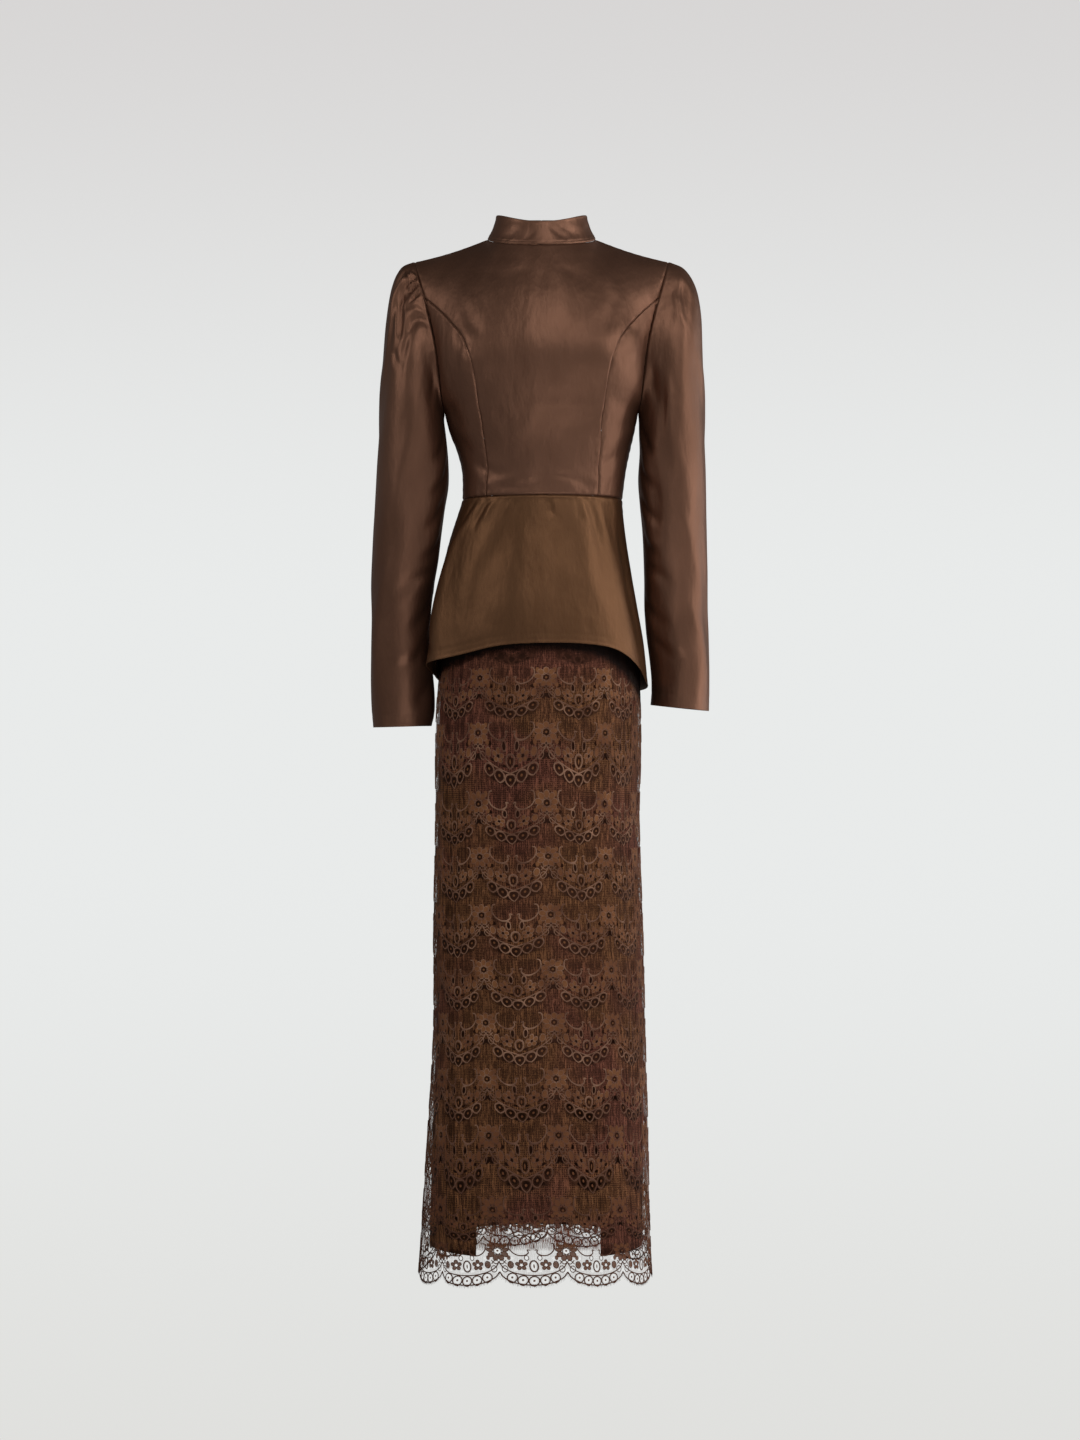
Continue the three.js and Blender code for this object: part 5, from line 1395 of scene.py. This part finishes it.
def to_lace(repeat, row, a, b, height):
    """Places of a repeat's drawing on the lace: across gives the turn, up gives the height, and the drawing is
    lifted off the net by height along the lace's normal."""
    middle = UNIT_WIDE * np.round((a - 0.01) / UNIT_WIDE)
    front_z = np.interp(sagged(a - middle, b, row) + UNIT_TALL * row, DRAWN_B, DRAWN_Z)
    turn = column_turn(2 * np.pi * (a / UNIT_WIDE + repeat + SCALLOP_PHASE) / SCALLOPS, front_z)
    share = (front_z - SKIRT_TOP_Z) / (LACE_TIP_Z - SKIRT_TOP_Z)
    z = SKIRT_TOP_Z + share * (tip_z(turn) - SKIRT_TOP_Z)
    turn = np.mod(turn + np.pi, 2 * np.pi) - np.pi
    here = on_lace(z, turn)
    aside, above = 0.004, 1.0  # small steps round and up, for the slopes
    round_way = on_lace(z, turn + aside) - on_lace(z, turn - aside)
    up_way = on_lace(z + above, turn) - on_lace(z - above, turn)
    return here + unit(np.cross(round_way, up_way)) * height[..., None]


CORD_FOOT, CORD_CREST, FILL_LIFT = 0.08, 0.12, 0.3  # heights off the net


def ridge_arrays(lines):
    """A raised cord along each line, sewn flat to the net: two lower corners at half its width to either side, and
    a crest between them. Returns places as (across, up, height) and faces."""
    places, faces, start = [], [], 0
    for line, width in lines:
        way = unit(np.gradient(line, axis=0))
        aside = np.stack([way[:, 1], -way[:, 0]], -1) * width / 2
        n = len(line)
        rows = ((line - aside, CORD_FOOT), (line + aside, CORD_FOOT), (line, CORD_CREST + 0.5 * width))
        places.append(np.concatenate([np.hstack([edge, np.full((n, 1), high)]) for edge, high in rows]))
        k = np.arange(n - 1)[:, None]
        left, right, top = start + k, start + n + k, start + 2 * n + k
        quads = [(left, top, top + 1, left + 1), (top, right, right + 1, top + 1)]
        faces += [np.hstack(q) for q in quads]
        start += 3 * n
    return np.concatenate(places), np.concatenate(faces)


def fan_arrays(outlines):
    """A flat fan for each closed outline, from its middle to its edge."""
    places, faces, start = [], [], 0
    for outline in outlines:
        edge = outline[:-1]
        n = len(edge)
        middle = edge.mean(0, keepdims=True)
        flat = np.concatenate([middle, edge])
        places.append(np.hstack([flat, np.full((n + 1, 1), FILL_LIFT)]))
        k = np.arange(n)
        faces.append(np.stack([np.full(n, start), start + 1 + k, start + 1 + (k + 1) % n], -1))
        start += n + 1
    return np.concatenate(places), np.concatenate(faces)


def spread(drawing_of, repeats):
    """The drawing's arrays for every row and every one of the repeats, on the lace."""
    all_places, all_faces, start = [], [], 0
    for row in range(len(FLOWER_Z) - 1):
        flat, faces = drawing_of(row)
        for repeat in repeats:
            all_places.append(to_lace(repeat, row, flat[:, 0], flat[:, 1], flat[:, 2]))
            all_faces.append(faces + start)
            start += len(flat)
    return np.concatenate(all_places), np.concatenate(all_faces)


def drawn_place(z, turn):
    """The net's map: repeats across from the middle tip, and rows up from the hem's."""
    front_z = SKIRT_TOP_Z + (z - SKIRT_TOP_Z) * (LACE_TIP_Z - SKIRT_TOP_Z) / (tip_z(turn) - SKIRT_TOP_Z)
    t = column_of(turn, front_z)
    return t * SCALLOPS / (2 * np.pi) - SCALLOP_PHASE, np.interp(front_z, DRAWN_Z, DRAWN_B) / UNIT_TALL


def net_closeness(repeats, rows):
    """How close the net's threads are: closer in the band above each scallop, and more open in the big flowers."""
    a = (repeats - np.round(repeats)) * UNIT_WIDE
    b = UNIT_TALL * (np.mod(rows + 0.15, 1) - 0.15)
    band = smooth(b, 2, 8) * smooth(b, 38, 28)
    flower = bell(np.hypot(np.abs(a) - 40, b - FLOWER_B) / 12)
    return np.clip(0.66 + 0.1 * band - 0.15 * flower, 0.1, 0.95)


# How deep the painted shadow under the peplum's hem reaches at each turn round from the centre front.
HEM_SHADOW_DEPTH = table(
    "turn deep", (-180, 8), (-60, 8), (-45, 5), (-10, 12), (10, 15), (35, 19), (60, 26), (90, 34), (180, 8)
)


def add_shade(mesh, places):
    """Paints the peplum's close shadow on the lace: full for the upper 35% of a depth below its hem, then fading.
    """
    turn = np.degrees(np.arctan2(places[:, 0], -places[:, 1]))
    below = read(PEPLUM_HEM, "turn", "z", turn) - places[:, 2]
    deep = read(HEM_SHADOW_DEPTH, "turn", "deep", turn)
    shade = mesh.attributes.new("shade", "FLOAT", "POINT")
    shade.data.foreach_set("value", smooth(below, deep, deep * 0.35).astype(np.float32))


NET_ROWS, NET_COLUMNS = 170, 161


def make_lace():
    """Front and back net, each cut to its scallops, with the cords and the filled flowers on it."""
    made = {}
    for name, start, stop in (("front", -90, 90), ("back", 90, 270)):
        turn = np.radians(np.linspace(start, stop, NET_COLUMNS))[None, :]
        down = np.linspace(0, 1, NET_ROWS)[:, None]
        wrapped = np.mod(turn + np.pi, 2 * np.pi) - np.pi
        z = blend(SKIRT_TOP_Z - SEAM, lace_hem(wrapped), down)
        grid = parted(on_lace(z, wrapped + 0 * down), turn)
        piece_name = f"{name}_lace"
        measured(piece_name, grid)
        if np.sum(facings(grid) * outward(grid)) < 0:
            grid, turn, z = grid[:, ::-1], turn[:, ::-1], z[:, ::-1]
        repeats, rows = drawn_place(z, turn + 0 * z)
        uv = np.stack([repeats, rows], -1)
        mesh = mesh_of(piece_name, grid.reshape(-1, 3), quads_of(*grid.shape[:2]), uv.reshape(-1, 2))
        closeness = mesh.attributes.new("closeness", "FLOAT", "POINT")
        closeness.data.foreach_set("value", net_closeness(repeats, rows).astype(np.float32).ravel())
        add_shade(mesh, grid.reshape(-1, 3))
        piece = link(piece_name, mesh)
        finish_piece(piece, f"skirt_lace_{name}", LACE_NET)
        made[name] = [piece]
    for name, repeats_round in {"front": range(-2, 4), "back": range(4, 9)}.items():
        for kind, arrays, which, material in (
            ("cords", ridge_arrays, 0, LACE_CORD),
            ("flowers", fan_arrays, 1, LACE_FILL),
        ):
            places, faces = spread(lambda row: arrays(repeat_drawing(row)[which]), repeats_round)
            piece = link(f"{name}_lace_{kind}", mesh_of(f"{name}_lace_{kind}", places, faces))
            add_shade(piece.data, places)
            finish_piece(piece, None, material)
            made[name].append(piece)
    return made


LASHES_PER_UNIT = 64


def make_lashes():
    """Fine thread ends along the scallops, each a thin three-sided spike that leans a little to one side."""
    count = LASHES_PER_UNIT * SCALLOPS
    k = np.arange(count)
    a_all = (k + 0.5) / LASHES_PER_UNIT * UNIT_WIDE
    repeat = np.floor(a_all / UNIT_WIDE + 0.5)
    a = a_all - repeat * UNIT_WIDE
    long = 3.6 + 1.0 * np.sin(k * 2.3) + 0.5 * np.sin(k * 5.1 + 1)
    lean = 0.22 * np.sin(k * 1.7 + 0.4) + 0.012 * a
    b = scallop_rise(a) + 0.6
    half = 0.28
    corners = ((a - half, b, 0.1), (a + half, b, 0.1), (a, b, 0.55), (a + lean * long, b - long, 0.25))
    places = [to_lace(repeat, 0, across, up, high + 0 * a) for across, up, high in corners]
    places = np.stack(places, 1).reshape(-1, 3)
    base = (4 * k)[:, None]
    faces = np.concatenate([base + np.array(t)[None, :] for t in ((0, 2, 1), (0, 3, 2), (2, 3, 1), (1, 3, 0))])
    lashes = link("lace_edge_threads", mesh_of("lace_edge_threads", places, faces))
    finish_piece(lashes, None, LACE_CORD)
    return lashes


# ---- Putting it together --------------------------------------------------------------------------------------

set_stage()
set_lights()

body = make_body()
collar = make_collar()
sleeves = {side: make_sleeve(side) for side in SIGN}
peplum = {
    "front_peplum": make_peplum("front_peplum", "peplum_front", -90, 90, 140),
    "right_back_peplum": make_peplum("right_back_peplum", "peplum_back_right", -180, -90, 70),
    "left_back_peplum": make_peplum("left_back_peplum", "peplum_back_left", 90, 180, 70),
}
zip_tape = make_zip_tape()
waistband = make_waistband()
lining_front, lining_back = make_lining()
lace = make_lace()
lashes = make_lashes()

for node_name in ("zip_slider", "zip_pull"):
    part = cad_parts[node_name]
    part.data.materials.clear()
    part.data.materials.append(ZIP_METAL)


def cut(piece, name, with_pieces=()):
    """Works out a cloth piece's measured flat width and length, rounded, and its area; nothing is kept."""
    width, length, area = CUTS[name]
    width, length = round(width, 3), round(length, 3)
    min(area, width * length)
    list(with_pieces)


for key, piece in body.items():
    cut(piece, piece.name)
cut(collar, "collar")
for side, piece in sleeves.items():
    cut(piece, f"{side}_sleeve")
for name, piece in peplum.items():
    cut(piece, name)
cut(zip_tape, "zip_tape")
cut(waistband, "waist_elastic")
cut(lining_front, "front_lining")
cut(lining_back, "back_lining")
cut(lace["front"][0], "front_lace", [*lace["front"][1:], lashes])
cut(lace["back"][0], "back_lace", lace["back"][1:])
